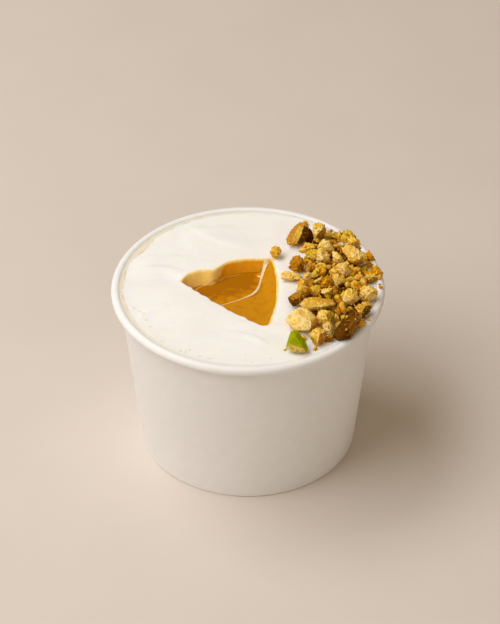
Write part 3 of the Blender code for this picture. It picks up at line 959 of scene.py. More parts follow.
@dataclass
class Hollow:
    """The scooped hollow: three bowed sides, and a floor that ramps down to the back."""

    centre: Vector = field(default_factory=lambda: Vector((1.0, 0.0)) * MM)
    back: Side = Side(TIP, (-7.4, 11.8), BACK_CORNER, 2.4, 0.85)
    right: Side = Side(BACK_CORNER, (10.3, -2.0), FRONT_CORNER, 0.9, 0.35)
    left: Side = Side(FRONT_CORNER, (-8.4, -11.3), TIP, 2.3, 0.22)
    softness: float = 0.45 * MM
    sharpest_lip: float = 0.05 * MM
    tip_ease: float = 0.24
    tip_ease_ends: Pair = (1.0 * MM, -12.0 * MM)
    lip_range: Pair = (-30.0, 20.0)
    lip_step: float = 0.15
    lip_smoothing: int = 13
    front_end: float = -21.4 * MM
    front_slope: float = 1.6
    ramp_turn: float = math.radians(115.0)
    ramp_start: float = 0.8 * MM
    ramp_slope: float = 0.155
    ramp_length: float = 21.3 * MM
    well_slope: float = 0.33
    reach: float = 30.0 * MM
    flat_beyond: float = -6.0 * MM

    def __post_init__(self) -> None:
        """Work out the sides' circles and the back lip's scallops once."""
        self.sides = [(*side.circle(), side) for side in (self.back, self.right, self.left)]
        given = np.interp(np.arange(*self.lip_range, self.lip_step), *np.array(BACK_LIP).T)
        mean = np.full(self.lip_smoothing, 1 / self.lip_smoothing)
        self.stand_off = (np.convolve(given, mean, "same") * MM).tolist()

    def scallop(self, x: float) -> Vector:
        """How far the back lip stands off its circle, where the scoop was set down twice.

        Args:
            x: How far right the place is.

        Returns:
            The way off the circle.
        """
        place = (x / MM - self.lip_range[0]) / self.lip_step
        place = min(max(place, 0.0), len(self.stand_off) - 1.001)
        index, share = int(place), place % 1.0
        return Vector((0.0, self.stand_off[index] * (1.0 - share) + self.stand_off[index + 1] * share))

    def shares(self, plan: Vector) -> tuple[float, list[float]]:
        """Find the hollow's floor or wall at a place, and which of them it is.

        Args:
            plan: The place.

        Returns:
            The depth, negative outside, and the shares of the back, right, left and floor.
        """
        if (plan - self.centre).length > self.reach:
            return -self.reach, [0.0, 0.0, 0.0, 1.0]
        moved = (plan - self.scallop(plan.x), plan, plan)
        depths = [side.slope * (radius - (place - centre).length)
                  for place, (centre, radius, side) in zip(moved, self.sides)]
        depths[0] *= 1.0 - self.tip_ease * eased(plan.x, *self.tip_ease_ends)
        depths[2] = min(depths[2], self.front_slope * (plan.y - self.front_end))
        run = (plan - Vector(FRONT_CORNER) * MM).dot(heading(self.ramp_turn))
        depths.append(self.ramp_start + self.ramp_slope * run
                      + self.well_slope * max(run - self.ramp_length, 0.0))
        least = min(depths)
        weights = [math.exp((least - depth) / self.softness) for depth in depths]
        total = sum(weights)
        return least - self.softness * math.log(total), [weight / total for weight in weights]

    def depth(self, plan: Vector) -> float:
        """The hollow's depth at a place, 0 well outside it, with each side's own soft lip."""
        return self.rounded(*self.shares(plan))

    def rounded(self, raw: float, shares: Sequence[float]) -> float:
        """The depth with each side's own soft lip, from the sharp one and the sides' shares.

        Args:
            raw: The depth of the sharp hollow.
            shares: Each side's share of it.

        Returns:
            The depth.
        """
        if raw < self.flat_beyond:
            return 0.0
        roundness = sum(share * side.roundness for share, (_, _, side) in zip(shares, self.sides))
        return soft_over(raw, roundness * MM + self.sharpest_lip)

    def lip(self, steps: int) -> list[Vector]:
        """List points along the lip, with this many steps on each side.

        Args:
            steps: How many steps each side has.

        Returns:
            The points, in plan.
        """
        points = []
        for centre, radius, side in self.sides:
            first = math.atan2(*(Vector(side.start) * MM - centre).yx)
            last = math.atan2(*(Vector(side.end) * MM - centre).yx)
            turn = (last - first + math.pi) % math.tau - math.pi
            points += PaperCup.arc(centre, radius, first, turn, steps)[:-1]
        return [point + self.scallop(point.x) for point in points[:steps]] + points[steps:]


SPECKS = ((133.8, 307.4), (135.2, 308.6), (140.1, 311), (143.6, 313.5), (146.7, 319.6), (162.6, 341.1),
          (180.4, 350.9), (189, 349), (200, 355.8), (209.8, 358.3), (185, 352.6), (151, 326.5))


class Survey(NamedTuple):
    """What the ice cream's surface is like at a place in plan."""

    height: float
    depth: float
    raw_depth: float
    shares: list[float]
    inner: Vector


@dataclass
class IceCream:
    """The filling, levelled with a spatula under the rim; its stains go by depths in mm."""

    cup: PaperCup
    view: PhotoView
    hollow: Hollow = field(default_factory=Hollow)
    bottom: float = 5.8 * MM
    crown: float = 60.5 * MM
    dome: float = 0.25 * MM
    edge_rise: float = 0.3 * MM
    edge_power: float = 26.0
    lip_reach: float = 3.0 * MM
    lip_limit: float = 7.0 * MM
    lip_broad: Ripples = Ripples(0.28 * MM, 6.5 * MM, 3.0)
    lip_fine: Ripples = Ripples(1.0 * MM, 2.4 * MM, 7.0)
    lip_fine_shares: tuple[float, ...] = (0.0, 0.24, 0.62, 0.0)
    smooth: tuple[Ripples, ...] = (Ripples(0.11 * MM, 9.0 * MM), Ripples(0.035 * MM, 2.6 * MM, 2.0))
    torn: tuple[Ripples, ...] = (Ripples(0.14 * MM, 2.2 * MM, 5.0), Ripples(0.06 * MM, 0.9 * MM, 6.0))
    torn_depths: Pair = (0.2 * MM, 1.5 * MM)
    relief_ends: Pair = (0.97, 0.9)
    halo: Rise = Rise(0.5, -3.4, 0.8)
    amber: Rise = Rise(0.5, -8.6, -6.4)
    amber_slant: float = 0.7
    amber_lip: Rise = Rise(1.0, -0.2, 1.0)
    soaked: Rise = Rise(0.16, 1.5, 4.0)
    lip_stain: Rise = Rise(0.3, -0.6, 0.3)
    floor_stain: Rise = Rise(0.7, 0.45, 1.1)
    stain_from: float = -3.0
    melt_middle: float = 150.0
    melt_turns: Pair = (85.0, 35.0)
    least_melt: float = 0.3
    melt_fade: float = 0.5
    melt_edge: tuple[Ripples, ...] = (Ripples(0.45, 7.0 * MM), Ripples(0.25, 1.7 * MM))
    melt_width: float = 1.1
    melt_line_width: float = 0.28
    line_stain: float = 0.3
    least_line: float = 0.1
    line_specks: float = 2.4
    notch_width: float = 8.0
    notch_depth: float = 1.3
    notch_streak: float = 0.2
    least_streak: float = 0.14
    streak: Ripples = Ripples(1.0, 4.0 * MM, 2.0)
    streaked: Rise = Rise(0.26, -0.4, 0.5)
    speck: Rise = Rise(0.8, 0.62 * MM, 0.1 * MM)
    pits_middle: float = 240.0
    pits_turn: Rise = Rise(1.0, 60.0, 30.0)
    pits_inside: Rise = Rise(1.0, 7.0 * MM, 3.0 * MM)
    pits_edge: Rise = Rise(1.0, 0.6 * MM, 1.2 * MM)
    swells: tuple[Swell, ...] = tuple(Swell(*sizes) for sizes in (
        (-19, -11, 9, 7, 0.5), (13, -8, 3, 10, 0.45), (-30, 3, 9, 3.5, -0.4), (-12, 27, 12, 5, 0.3),
        (2, -31, 9, 4, 0.25), (-25.5, 4, 3.5, 2.6, -0.45), (-33, 11, 4, 6, 0.3),
        (6, 27, 8, 3, -0.25), (-8, -24, 6, 3, -0.3)))
    strokes: tuple[Stroke, ...] = tuple(Stroke(*sizes) for sizes in (
        (-30, -4, 14, 50, 140, 0.9, 0.34), (-27, -8, 24, 62, 128, 1.2, 0.26),
        (-10, -30, 62, 80, 120, 1.3, 0.24), (10, 60, 40, 215, 262, 1.4, 0.22),
        (-6, -40, 15, 30, 100, 0.8, 0.26), (2, -44, 24, 60, 110, 1.0, 0.22),
        (-24, -22, 12, 95, 170, 0.9, 0.22), (0, 8, 27, 100, 150, 1.1, 0.2)))
    side_steps: int = 160
    inner_rings: int = 54
    outer_rings: int = 62
    side_rings: int = 6

    def levelled(self, plan: Vector) -> float:
        """The height of the surface as the spatula left it, without the hollow.

        Args:
            plan: The place.

        Returns:
            The height.
        """
        out = min(plan.length / self.cup.wall_radius(self.crown), 1.0)
        height = self.crown - self.dome * out**2 + self.edge_rise * out**self.edge_power
        return height + sum(swell.height(plan) for swell in self.swells)

    def wobble(self, plan: Vector) -> Vector:
        """How far the hollow's lip strays from its bowed sides near a place.

        Args:
            plan: The place.

        Returns:
            The way off the side.
        """
        raw, shares = self.hollow.shares(plan)
        if abs(raw) > self.lip_limit:
            return Vector((0.0, 0.0))
        near = math.exp(-((raw / self.lip_reach) ** 2))
        fine = sum(share * part for share, part in zip(shares, self.lip_fine_shares))
        return Vector([near * ((1.0 - shares[0]) * self.lip_broad.at(plan, axis)
                               + fine * self.lip_fine.at(plan, axis)) for axis in (0, 1)])

    def relief(self, plan: Vector, depth: float) -> float:
        """The finer relief of the surface, rougher where the scoop tore it.

        Args:
            plan: The place.
            depth: How deep the hollow is there.

        Returns:
            The height.
        """
        torn = eased(depth, *self.torn_depths)
        strokes = sum(stroke.height(plan) for stroke in self.strokes)
        smooth, rough = (sum(part.at(plan) for part in parts) for parts in (self.smooth, self.torn))
        return smooth + (1.0 - torn) * strokes + torn * rough

    def survey(self, plan: Vector) -> Survey:
        """Find the surface's height at a place, and which part of the hollow is there.

        Args:
            plan: The place.

        Returns:
            The height, the hollow's depth with and without its soft lip, the shares of its
            sides, and the place without the lip's wobble.
        """
        inner = plan - self.wobble(plan)
        raw, shares = self.hollow.shares(inner)
        depth = self.hollow.rounded(raw, shares)
        calm, rough = self.relief_ends
        edge = eased(plan.length, calm * self.cup.wall_radius(self.crown), rough * self.cup.rim_radius)
        height = self.levelled(plan) - depth + edge * self.relief(plan, depth)
        return Survey(height, depth, raw, shares, inner)

    def height(self, plan: Vector) -> float:
        """The height of the surface at a place in plan."""
        return self.survey(plan).height

    def edge_points(self, lip: Sequence[Vector]) -> list[Vector]:
        """Find the cup's wall on the way from the hollow's middle through each lip point.

        Args:
            lip: The points on the lip.

        Returns:
            The points where the ice cream meets the wall's clear space.
        """
        edge = []
        for point in lip:
            direction = (point - self.hollow.centre).normalized()
            outermost = self.levelled(point.normalized() * self.cup.rim_radius)
            reach = way_out(self.hollow.centre, direction, self.cup.clear_radius(outermost))
            edge.append(self.hollow.centre + direction * reach)
        return edge

    def build(self) -> None:
        """Lay rings over the hollow, out to the wall and down its side."""
        lip = self.hollow.lip(self.side_steps)
        edge = self.edge_points(lip)
        top_rings = self.inner_rings + self.outer_rings
        last = top_rings + self.side_rings + 1

        def plan_of(ring: int, column: int) -> Vector:
            """The plan of a point on the top."""
            if ring <= self.inner_rings:
                share = 1.0 - (1.0 - ring / self.inner_rings) ** 1.25
                return self.hollow.centre.lerp(lip[column], share)
            step = (ring - self.inner_rings) / self.outer_rings
            share = 0.45 * step + 0.55 * (0.5 - 0.5 * math.cos(math.pi * step))
            return lip[column].lerp(edge[column], share)

        def place(ring: int, column: int) -> Vector:
            """The place of a point of the whole body."""
            if ring == last:
                return Vector((0.0, 0.0, self.bottom))
            if ring > top_rings:
                top = self.height(edge[column])
                height = top + (self.bottom - top) * (ring - top_rings) / self.side_rings
                radius = self.cup.clear_radius(height)
                return raised(edge[column].normalized() * radius, height)
            plan = plan_of(ring, column)
            plan += self.wobble(plan)
            return raised(plan, self.height(plan))

        bm = polar_sheet(last, len(lip), place)
        self.paint(bm)
        add_piece("vanilla_filling", bm, CreamFinish().material(), ["ice_cream"])

    def paint(self, bm: Mesh) -> None:
        """Paint where coffee has stained the cream, where it melts and where ice left pits.

        Args:
            bm: The ice cream's mesh.
        """
        names = ("stain", "melt", "specks", "pits")
        stain, melt, specks, pits = (bm.verts.layers.float.new(name) for name in names)
        spots = [self.view.plan_at(spot, self.crown) for spot in SPECKS]
        wall = self.cup.clear_radius(self.crown)
        for vert in bm.verts:
            plan = vert.co.xy
            inset = wall - plan.length
            vert[melt], line = self.melted(plan, inset)
            vert[stain] = self.stain(plan) + line[0]
            nearest = min((spot - plan).length for spot in spots)
            vert[specks] = min(self.speck.at(nearest) + line[1], 1.0)
            front = self.pits_turn.at(turned_from(plan, self.pits_middle))
            vert[pits] = front * self.pits_inside.at(inset) * self.pits_edge.at(inset)

    def melted(self, plan: Vector, inset: float) -> tuple[float, Pair]:
        """Find how the cream has melted along the wall.

        Args:
            plan: The place.
            inset: How far inside the wall it is.

        Returns:
            The melted cream's share, and the stain and the specks along its ragged border.
        """
        turn = turned_from(plan, self.melt_middle)
        side = eased(turn, *self.melt_turns)
        notch = math.exp(-((turn / self.notch_width) ** 2))
        border = self.melt_width + sum(part.at(plan) for part in self.melt_edge)
        border += self.notch_depth * notch
        line = math.exp(-(((inset / MM - border) / self.melt_line_width) ** 2))
        streak = self.least_streak + self.streaked.at(self.streak.at(plan)) + self.notch_streak * notch
        melt = self.least_melt + (1.0 - self.least_melt) * side
        share = melt * eased(inset, border * MM, (border - self.melt_fade) * MM)
        stain = self.line_stain * line * (self.least_line + side * streak)
        return share, (stain, self.line_specks * line * side * streak)

    def stain(self, plan: Vector) -> float:
        """How much coffee has soaked into the cream at a place, from 0 to 1.

        Args:
            plan: The place.

        Returns:
            The stain.
        """
        if (plan - self.hollow.centre).length > self.hollow.reach:
            return 0.0
        spot = self.survey(plan)
        raw = spot.raw_depth / MM
        if raw < self.stain_from:
            return 0.0
        amber = self.amber.at(spot.inner.x / MM + self.amber_slant * raw) * self.amber_lip.at(raw)
        back = min(self.halo.at(raw) + amber + self.soaked.at(raw), 1.0)
        other = self.lip_stain.at(raw) + self.floor_stain.at(spot.depth / MM)
        return back * spot.shares[0] + other * (1.0 - spot.shares[0])


# --- the coffee

@dataclass
class CoffeePool:
    """Coffee, level in the well, with a film up the ramp and the right side."""

    cream: IceCream
    level: float = 56.3 * MM
    centre: Vector = field(default_factory=lambda: Vector((-5.0, 4.5)) * MM)
    film: float = 0.3 * MM
    film_from: float = 0.12
    least_film: float = 0.015 * MM
    meniscus: float = 0.05 * MM
    shore_depths: Pair = (0.75 * MM, 1.65 * MM)
    shore_step: float = 0.01 * MM
    reach: float = 36.0 * MM
    sunk: float = 0.25 * MM
    deep: float = 4.0 * MM
    columns: int = 240
    rings: int = 36

    def film_share(self, spot: Survey) -> float:
        """How thick the film is at a place, as a share of its full thickness, below 0 off it."""
        on_slope = spot.shares[1] + spot.shares[3]
        return eased(spot.raw_depth, *self.shore_depths) * on_slope - self.film_from

    def layer(self, plan: Vector) -> Pair:
        """Find the coffee's surface and the cream under it.

        Args:
            plan: The place.

        Returns:
            The height of the surface, which meets the walls in a small upward curve, and the
            height of the cream.
        """
        spot = self.cream.survey(plan)
        bed = spot.height + self.film * self.film_share(spot)
        return self.level + soft_over(bed - self.level, self.meniscus), spot.height

    def top(self, plan: Vector) -> float:
        """The height of the coffee's surface."""
        return self.layer(plan)[0]

    def shore(self, turn: float) -> Vector:
        """Find where the coffee ends.

        Args:
            turn: The direction from the coffee's middle, as an angle.

        Returns:
            The place in plan where the surface meets the bare cream.
        """
        near, far = 0.0, self.reach
        while far - near > self.shore_step:
            middle = (near + far) / 2
            top, bed = self.layer(self.centre + heading(turn) * middle)
            near, far = (middle, far) if top > bed + self.least_film else (near, middle)
        return self.centre + heading(turn) * near

    def build(self) -> None:
        """Lay rings over the surface to the shore, and back under it."""
        shore = [self.shore(math.tau * column / self.columns) for column in range(self.columns)]

        def place(ring: int, column: int) -> Vector:
            """The place of a point on the surface or the underside."""
            upper = ring <= self.rings
            share = ring / self.rings if upper else 2.0 - ring / self.rings
            plan = self.centre.lerp(shore[column], 1.0 - (1.0 - share) ** 1.3 if share < 1 else 1.0)
            top, bed = self.layer(plan)
            return raised(plan, top if upper else bed - self.sunk)

        bm = polar_sheet(2 * self.rings, self.columns, place)
        depth = bm.verts.layers.float.new("depth")
        for vert in bm.verts:
            top, bed = self.layer(vert.co.xy)
            vert[depth] = (top - bed) / self.deep + self.cream.survey(vert.co.xy).shares[0]
        add_piece("amber_pool", bm, CoffeeFinish().material(), ["coffee_pool"])


@dataclass(frozen=True)
class Thread:
    """A pale thread on the coffee (the threads are melted cream and painted highlights): its route as seen,
    and its width in mm at each point.
    """

    name: str
    finish: StrandFinish
    route: tuple[Pair, ...]
    widths: tuple[float, ...]


# The melted-cream finish also colours threads that paint highlights; the shore finish paints the meniscus
# highlight along the back shore.
MELT_AND_HIGHLIGHT = StrandFinish("melted_cream_and_highlight", seen(240, 220, 174), seen(232, 200, 134))
SHORE_HIGHLIGHT = StrandFinish("painted_shore_highlight", seen(236, 188, 120), seen(216, 158, 70))

THREADS = (
    # Melted cream that also paints the bright meniscus highlight down the crease and along the shore.
    Thread("cream_strand_and_highlight", MELT_AND_HIGHLIGHT,
           ((269.6, 263), (268.4, 262.9), (267.2, 263.6), (265.8, 265.4), (264.5, 268.8), (263, 273),
            (261.6, 278), (260.3, 283), (258.8, 287.6), (256, 291.8), (252, 295), (247, 297),
            (243, 298.6), (236, 301), (229, 303.2), (221.5, 305.3)),
           (0.5, 1.1, 1.5, 1.6, 1.5, 1.3, 0.95, 0.8, 0.95, 1.15, 1.1, 0.8, 0.45, 0.36, 0.33, 0.3)),
    # A white drop that paints a glint on the coffee.
    Thread("painted_glint_drop", MELT_AND_HIGHLIGHT, ((257, 276.2), (258.8, 276.4), (260.6, 277.4)), (0.35, 0.7, 0.5)),
    # A pale line that paints the meniscus highlight along the back shore.
    Thread("painted_shore_highlight_thread", SHORE_HIGHLIGHT,
           ((195.5, 290), (202, 286.4), (210, 283), (219.5, 280.6), (226, 277.4), (234, 275.6),
            (242, 274)),
           (0.3, 0.34, 0.3, 0.22, 0.28, 0.2, 0.12)),
)


@dataclass
class CreamThreads:
    """Pale threads that lie on the coffee: melted cream and painted highlights."""

    coffee: CoffeePool
    view: PhotoView
    thickness: float = 0.45
    sides: int = 10
    steps_between: int = 5

    def route(self, thread: Thread) -> list[tuple[Vector, float]]:
        """Find a thread's points on the coffee, smoothed between the ones that are given.

        Args:
            thread: The thread.

        Returns:
            Each point in plan, and the thread's width there.
        """
        given = [self.view.plan_on(spot, self.coffee.top) for spot in thread.route]
        rows = [Vector((*point, width * MM)) for point, width in zip(given, thread.widths)]
        fine = []
        for a, b, c, d in zip(rows[:1] + rows, rows, rows[1:], rows[2:] + rows[-1:]):
            for step in range(self.steps_between):
                t = step / self.steps_between
                bend = (-a + 3 * b - 3 * c + d) * t**3
                curve = (2 * a - 5 * b + 4 * c - d) * t**2
                fine.append((2 * b + (c - a) * t + curve + bend) / 2)
        return [(row.xy, row.z) for row in fine + rows[-1:]]

    def build(self) -> None:
        """Lay flat rings along each route, drawn to a point at both ends."""
        materials = {finish: finish.material() for finish in (MELT_AND_HIGHLIGHT, SHORE_HIGHLIGHT)}
        for thread in THREADS:
            route = self.route(thread)

            def place(ring: int, column: int) -> Vector:
                """The place of a point on the thread."""
                index = min(max(ring - 1, 0), len(route) - 1)
                middle, width = route[index]
                if ring in (0, len(route) + 1):
                    return raised(middle, self.coffee.top(middle))
                along = route[min(index + 1, len(route) - 1)][0] - route[max(index - 1, 0)][0]
                across = Vector((-along.y, along.x)).normalized()
                angle = math.tau * column / self.sides
                plan = middle + across * math.cos(angle) * width / 2
                lift = (math.sin(angle) * 0.5 + 0.25) * width * self.thickness
                return raised(plan, self.coffee.top(plan) + lift)

            bm = polar_sheet(len(route) + 1, self.sides, place)
            add_piece(thread.name, bm, materials[thread.finish])


# --- the pistachios

@dataclass(frozen=True)
class Palette:
    """The colours of one look of chopped pistachio, and the share of painted shade on its lower part."""

    flesh: Colour
    second: Colour
    skin: Colour
    fleck: Colour
    painted_shade_share: float = 0.33


class Look(Enum):
    """How a piece of pistachio looks: how roasted it is and which part of the kernel it was."""

    CHALK = Palette(seen(254, 228, 160), seen(250, 212, 118), seen(228, 180, 56), seen(232, 186, 60))
    PALE = Palette(seen(255, 224, 142), seen(250, 206, 96), seen(224, 168, 24), seen(212, 164, 20))
    GOLDEN = Palette(seen(250, 198, 64), seen(252, 212, 108), seen(212, 148, 10), seen(208, 152, 14))
    OLIVE = Palette(seen(230, 188, 40), seen(246, 208, 92), seen(190, 150, 8), seen(190, 154, 8))
    GREEN = Palette(seen(160, 170, 3), seen(166, 176, 5), seen(138, 146, 3), seen(144, 154, 3), 0.12)
    TAN = Palette(seen(244, 182, 54), seen(248, 202, 84), seen(202, 130, 18), seen(212, 148, 24))
    ORANGE = Palette(seen(232, 158, 12), seen(242, 186, 42), seen(186, 114, 4), seen(158, 96, 6))
    BROWN = Palette(seen(166, 104, 8), seen(212, 150, 38), seen(114, 66, 4), seen(88, 50, 4))
    DARK = Palette(seen(88, 49, 3), seen(106, 62, 5), seen(68, 37, 3), seen(120, 72, 7))


@dataclass(frozen=True)
class Face:
    """A side of a piece with its own colour: where it faces, across, up and towards the camera."""

    direction: tuple[float, float, float]
    colour: Colour
    threshold: float = 0.7


@dataclass(frozen=True)
class Piece:
    """A piece of pistachio as seen.

    Its spots are its outline's pixels, then its crests: the points that stand out of the outline
    towards the camera, each with how far, in pixels too. Without crests it gets random ones.
    Crumbled is how rough its sides are, as a share.
    """

    spots: str
    look: Look
    faces: tuple[Face, ...] = ()
    node: str = ""
    crumbled: float = 1.0

    def rows(self, width: int) -> Array:
        """The spots that have this many numbers."""
        spots = [spot.split(",") for spot in self.spots.split()]
        return np.array([spot for spot in spots if len(spot) == width], dtype=float).reshape(-1, width)

    @cached_property
    def outline(self) -> Array:
        """The pixels of its outline."""
        return self.rows(2)

    @cached_property
    def middle(self) -> Array:
        """The middle of its outline."""
        return (self.outline.min(axis=0) + self.outline.max(axis=0)) / 2

    @cached_property
    def breadth(self) -> float:
        """The lesser of its outline's width and height."""
        return np.ptp(self.outline, axis=0).min()


def plain_pieces(table: str) -> list[Piece]:
    """The pieces of a table in which each starts with its look's name, and its spots follow."""
    return [Piece(spots, Look[name]) for name, spots in re.findall(r"([A-Z]+) ([^A-Z]+)", table)]


# Dark brown for kernel sides turned from the light: their skin, darkened further as painted shade.
DARK_SKIN_AND_SHADE = seen(64, 34, 3)
KERNELS = (
    Piece("283.5,320.5 288,315 292,310 298,306 305,308 309,312 313.5,317 315.5,323 313,329 309,332 "
          "304,334 297,334 292,332.5 288,327 289,320,5 298,312,9 309,319,10 308,329,8 296,329,7",
          Look.CHALK, (Face((0.93, 0.05, 0.35), seen(196, 122, 20), 0.86),), "pale_front", 0.6),
    Piece("291.5,333.8 297,333.8 300.5,337 304,343 306.2,349 306,353.8 300,353.8 293,353 286.7,350 "
          "287.5,345 289.5,338.5 295,338,5 289.5,345,5 303,350,6", Look.GREEN,
          (Face((-0.2, -0.8, 0.56), seen(240, 200, 110), 0.82),
           Face((0.1, 0.35, 0.93), seen(154, 160, 2), 0.72)), "green_wedge", 0.35),
    Piece("309.8,333 313,330 317,327 322,327.5 325.5,331 326,337 323.5,341 320,344.5 315.5,343.5 "
          "312,338.5 315,335,6 320,331,7 318,340,5", Look.PALE,
          (Face((-0.75, -0.4, 0.5), seen(206, 172, 30), 0.75),
           Face((0.8, -0.3, 0.5), seen(206, 128, 16), 0.75)), "front_end"),
    Piece("284.3,299.5 290,296.2 296,293 303,290.5 309,290 314,291.5 310,295.5 304,299.5 299.5,304 "
          "295,308 290.5,309 286.5,304.5 290,300,4 298,297,4 306,293,3", Look.BROWN,
          (Face((-0.5, -0.4, 0.77), seen(96, 56, 6), 0.7), Face((0.3, 0.8, 0.5), seen(196, 136, 40), 0.8)),
          "dark_sliver"),
    Piece("281,273 284,271 289,271.5 294,271.5 300,273 303.5,275.5 304,279.5 298,281 290,280 281.5,278 "
          "286,274,2.5 297,276,3 292,275,3.5", Look.PALE, (), "left_flake"),
    Piece("288.3,269 289.5,265 292,261.5 293.5,258 298.5,258 301.5,259.8 303.8,263.5 304,269 "
          "302.5,272.8 297,272.8 292.5,271 294,263,5 300,264,5 297,269,4", Look.ORANGE,
          (Face((0.5, -0.5, 0.6), seen(132, 80, 10), 0.8),
           Face((-0.3, 0.4, 0.85), seen(190, 126, 26), 0.7)), "brown_crumbly", 0.85),
    Piece("303,225 307.5,225 310.6,230 311,237 307,243 302.5,246.5 296,247 291,246 289.5,241 292.5,235 "
          "297.5,229 301,229,6 297.2,236.3,7.5 294,243,6 305.3,228.8,6 303.2,237,7.5 299.4,244.2,5.8",
          Look.TAN,
          (Face((0.7, -0.3, 0.6), DARK_SKIN_AND_SHADE, 0.78), Face((0.1, 0.1, 0.98), seen(240, 204, 88), 0.86),
           Face((-0.6, 0.5, 0.6), seen(186, 124, 44), 0.75)), "leaning_half", 0.6),
    Piece("310,226 316,224.7 322.5,227 324.4,232 323,240 318,243 312,242 309.8,236 315,229,6 314,237,5 "
          "320,232,6", Look.PALE,
          (Face((0.75, 0.0, 0.6), seen(200, 158, 24), 0.8),
           Face((0.4, -0.7, 0.5), seen(160, 100, 14), 0.8)), "back_olive"),
    Piece("269.6,254 271,249.5 274.5,247.9 279,249 280.8,253 279.5,257.5 275,260.5 271.5,258.5",
          Look.GOLDEN, (), "lone_crumb", 0.7),
    Piece("334.5,340 336.5,332 341,326 345,320.5 349.5,314.5 355,311 359,316 360.7,322 357.5,328 "
          "353.5,334 351,340 346,341 340,343.6 343,334,9 349,324,11 355,317,8", Look.DARK,
          (Face((0.75, 0.1, 0.6), seen(196, 136, 48), 0.85),), "dark_half", 0.5),
    Piece("316.5,319 319,313.5 324,312 329,312.5 333,315.5 333.7,321 330,324.5 325,325.5 319,326 "
          "320,319,6 325,315.5,7 328,321,6", Look.PALE,
          (Face((0.65, 0.4, 0.6), seen(182, 140, 18), 0.75),), "olive_round"),
    Piece("355,307.5 359,304 364,301 369,300.8 372.8,305 370,311 366,315.5 362,319.3 358,316 356,311.5 "
          "366,303.5,6 362.5,311,7 358.5,308,4", Look.GOLDEN,
          (Face((0.8, -0.4, 0.4), DARK_SKIN_AND_SHADE, 0.75), Face((-0.4, 0.3, 0.85), seen(206, 150, 56), 0.8)),
          "orange_outer"),
    Piece("362.5,294 364.5,288.5 368,285.3 372,286 377,287.5 381,290.5 380,295 375.5,298 371,300.5 "
          "366,299.5 362.5,297.5 367,290,5 373,291,6 370,296,5", Look.PALE,
          (Face((0.9, 0.2, 0.35), seen(150, 154, 8), 0.85),), "green_tip"),
    Piece("299.2,304 303,300 308,297.5 316,297 325,298 331,300 335,304.5 330,307.8 322,310.5 312,312 "
          "304,311 300,307 304,303,4 316,300.5,5 328,302.5,4 314,306.5,5 325,305.5,4.5", Look.PALE,
          (Face((0.2, 0.85, 0.4), seen(218, 150, 34), 0.85),
           Face((0.1, -0.85, 0.4), seen(196, 160, 28), 0.85)), "long_slab", 0.7),
    Piece("344.4,299 346.5,294.5 348.5,289.5 352.5,289.3 355.5,292 359,295 360,298.5 357,302 "
          "352.5,305.4 348,304.5 345,302 349,296,6 354,296,6.5 352,301,6", Look.PALE, (), "round_tan"),
    Piece("342,252 346,250.3 350,249.5 354,250.5 358,253 362,255.5 365.5,257.5 367,261 364.5,264 "
          "360,265 355.5,265.5 351,264.5 348.5,261 345.5,257.5 343,255 349,253.5,5 360,259,6 354,256,7 "
          "353.5,261,6", Look.PALE, (Face((-0.15, -0.75, 0.6), seen(212, 138, 24), 0.86),),
          "broad_back"),
)
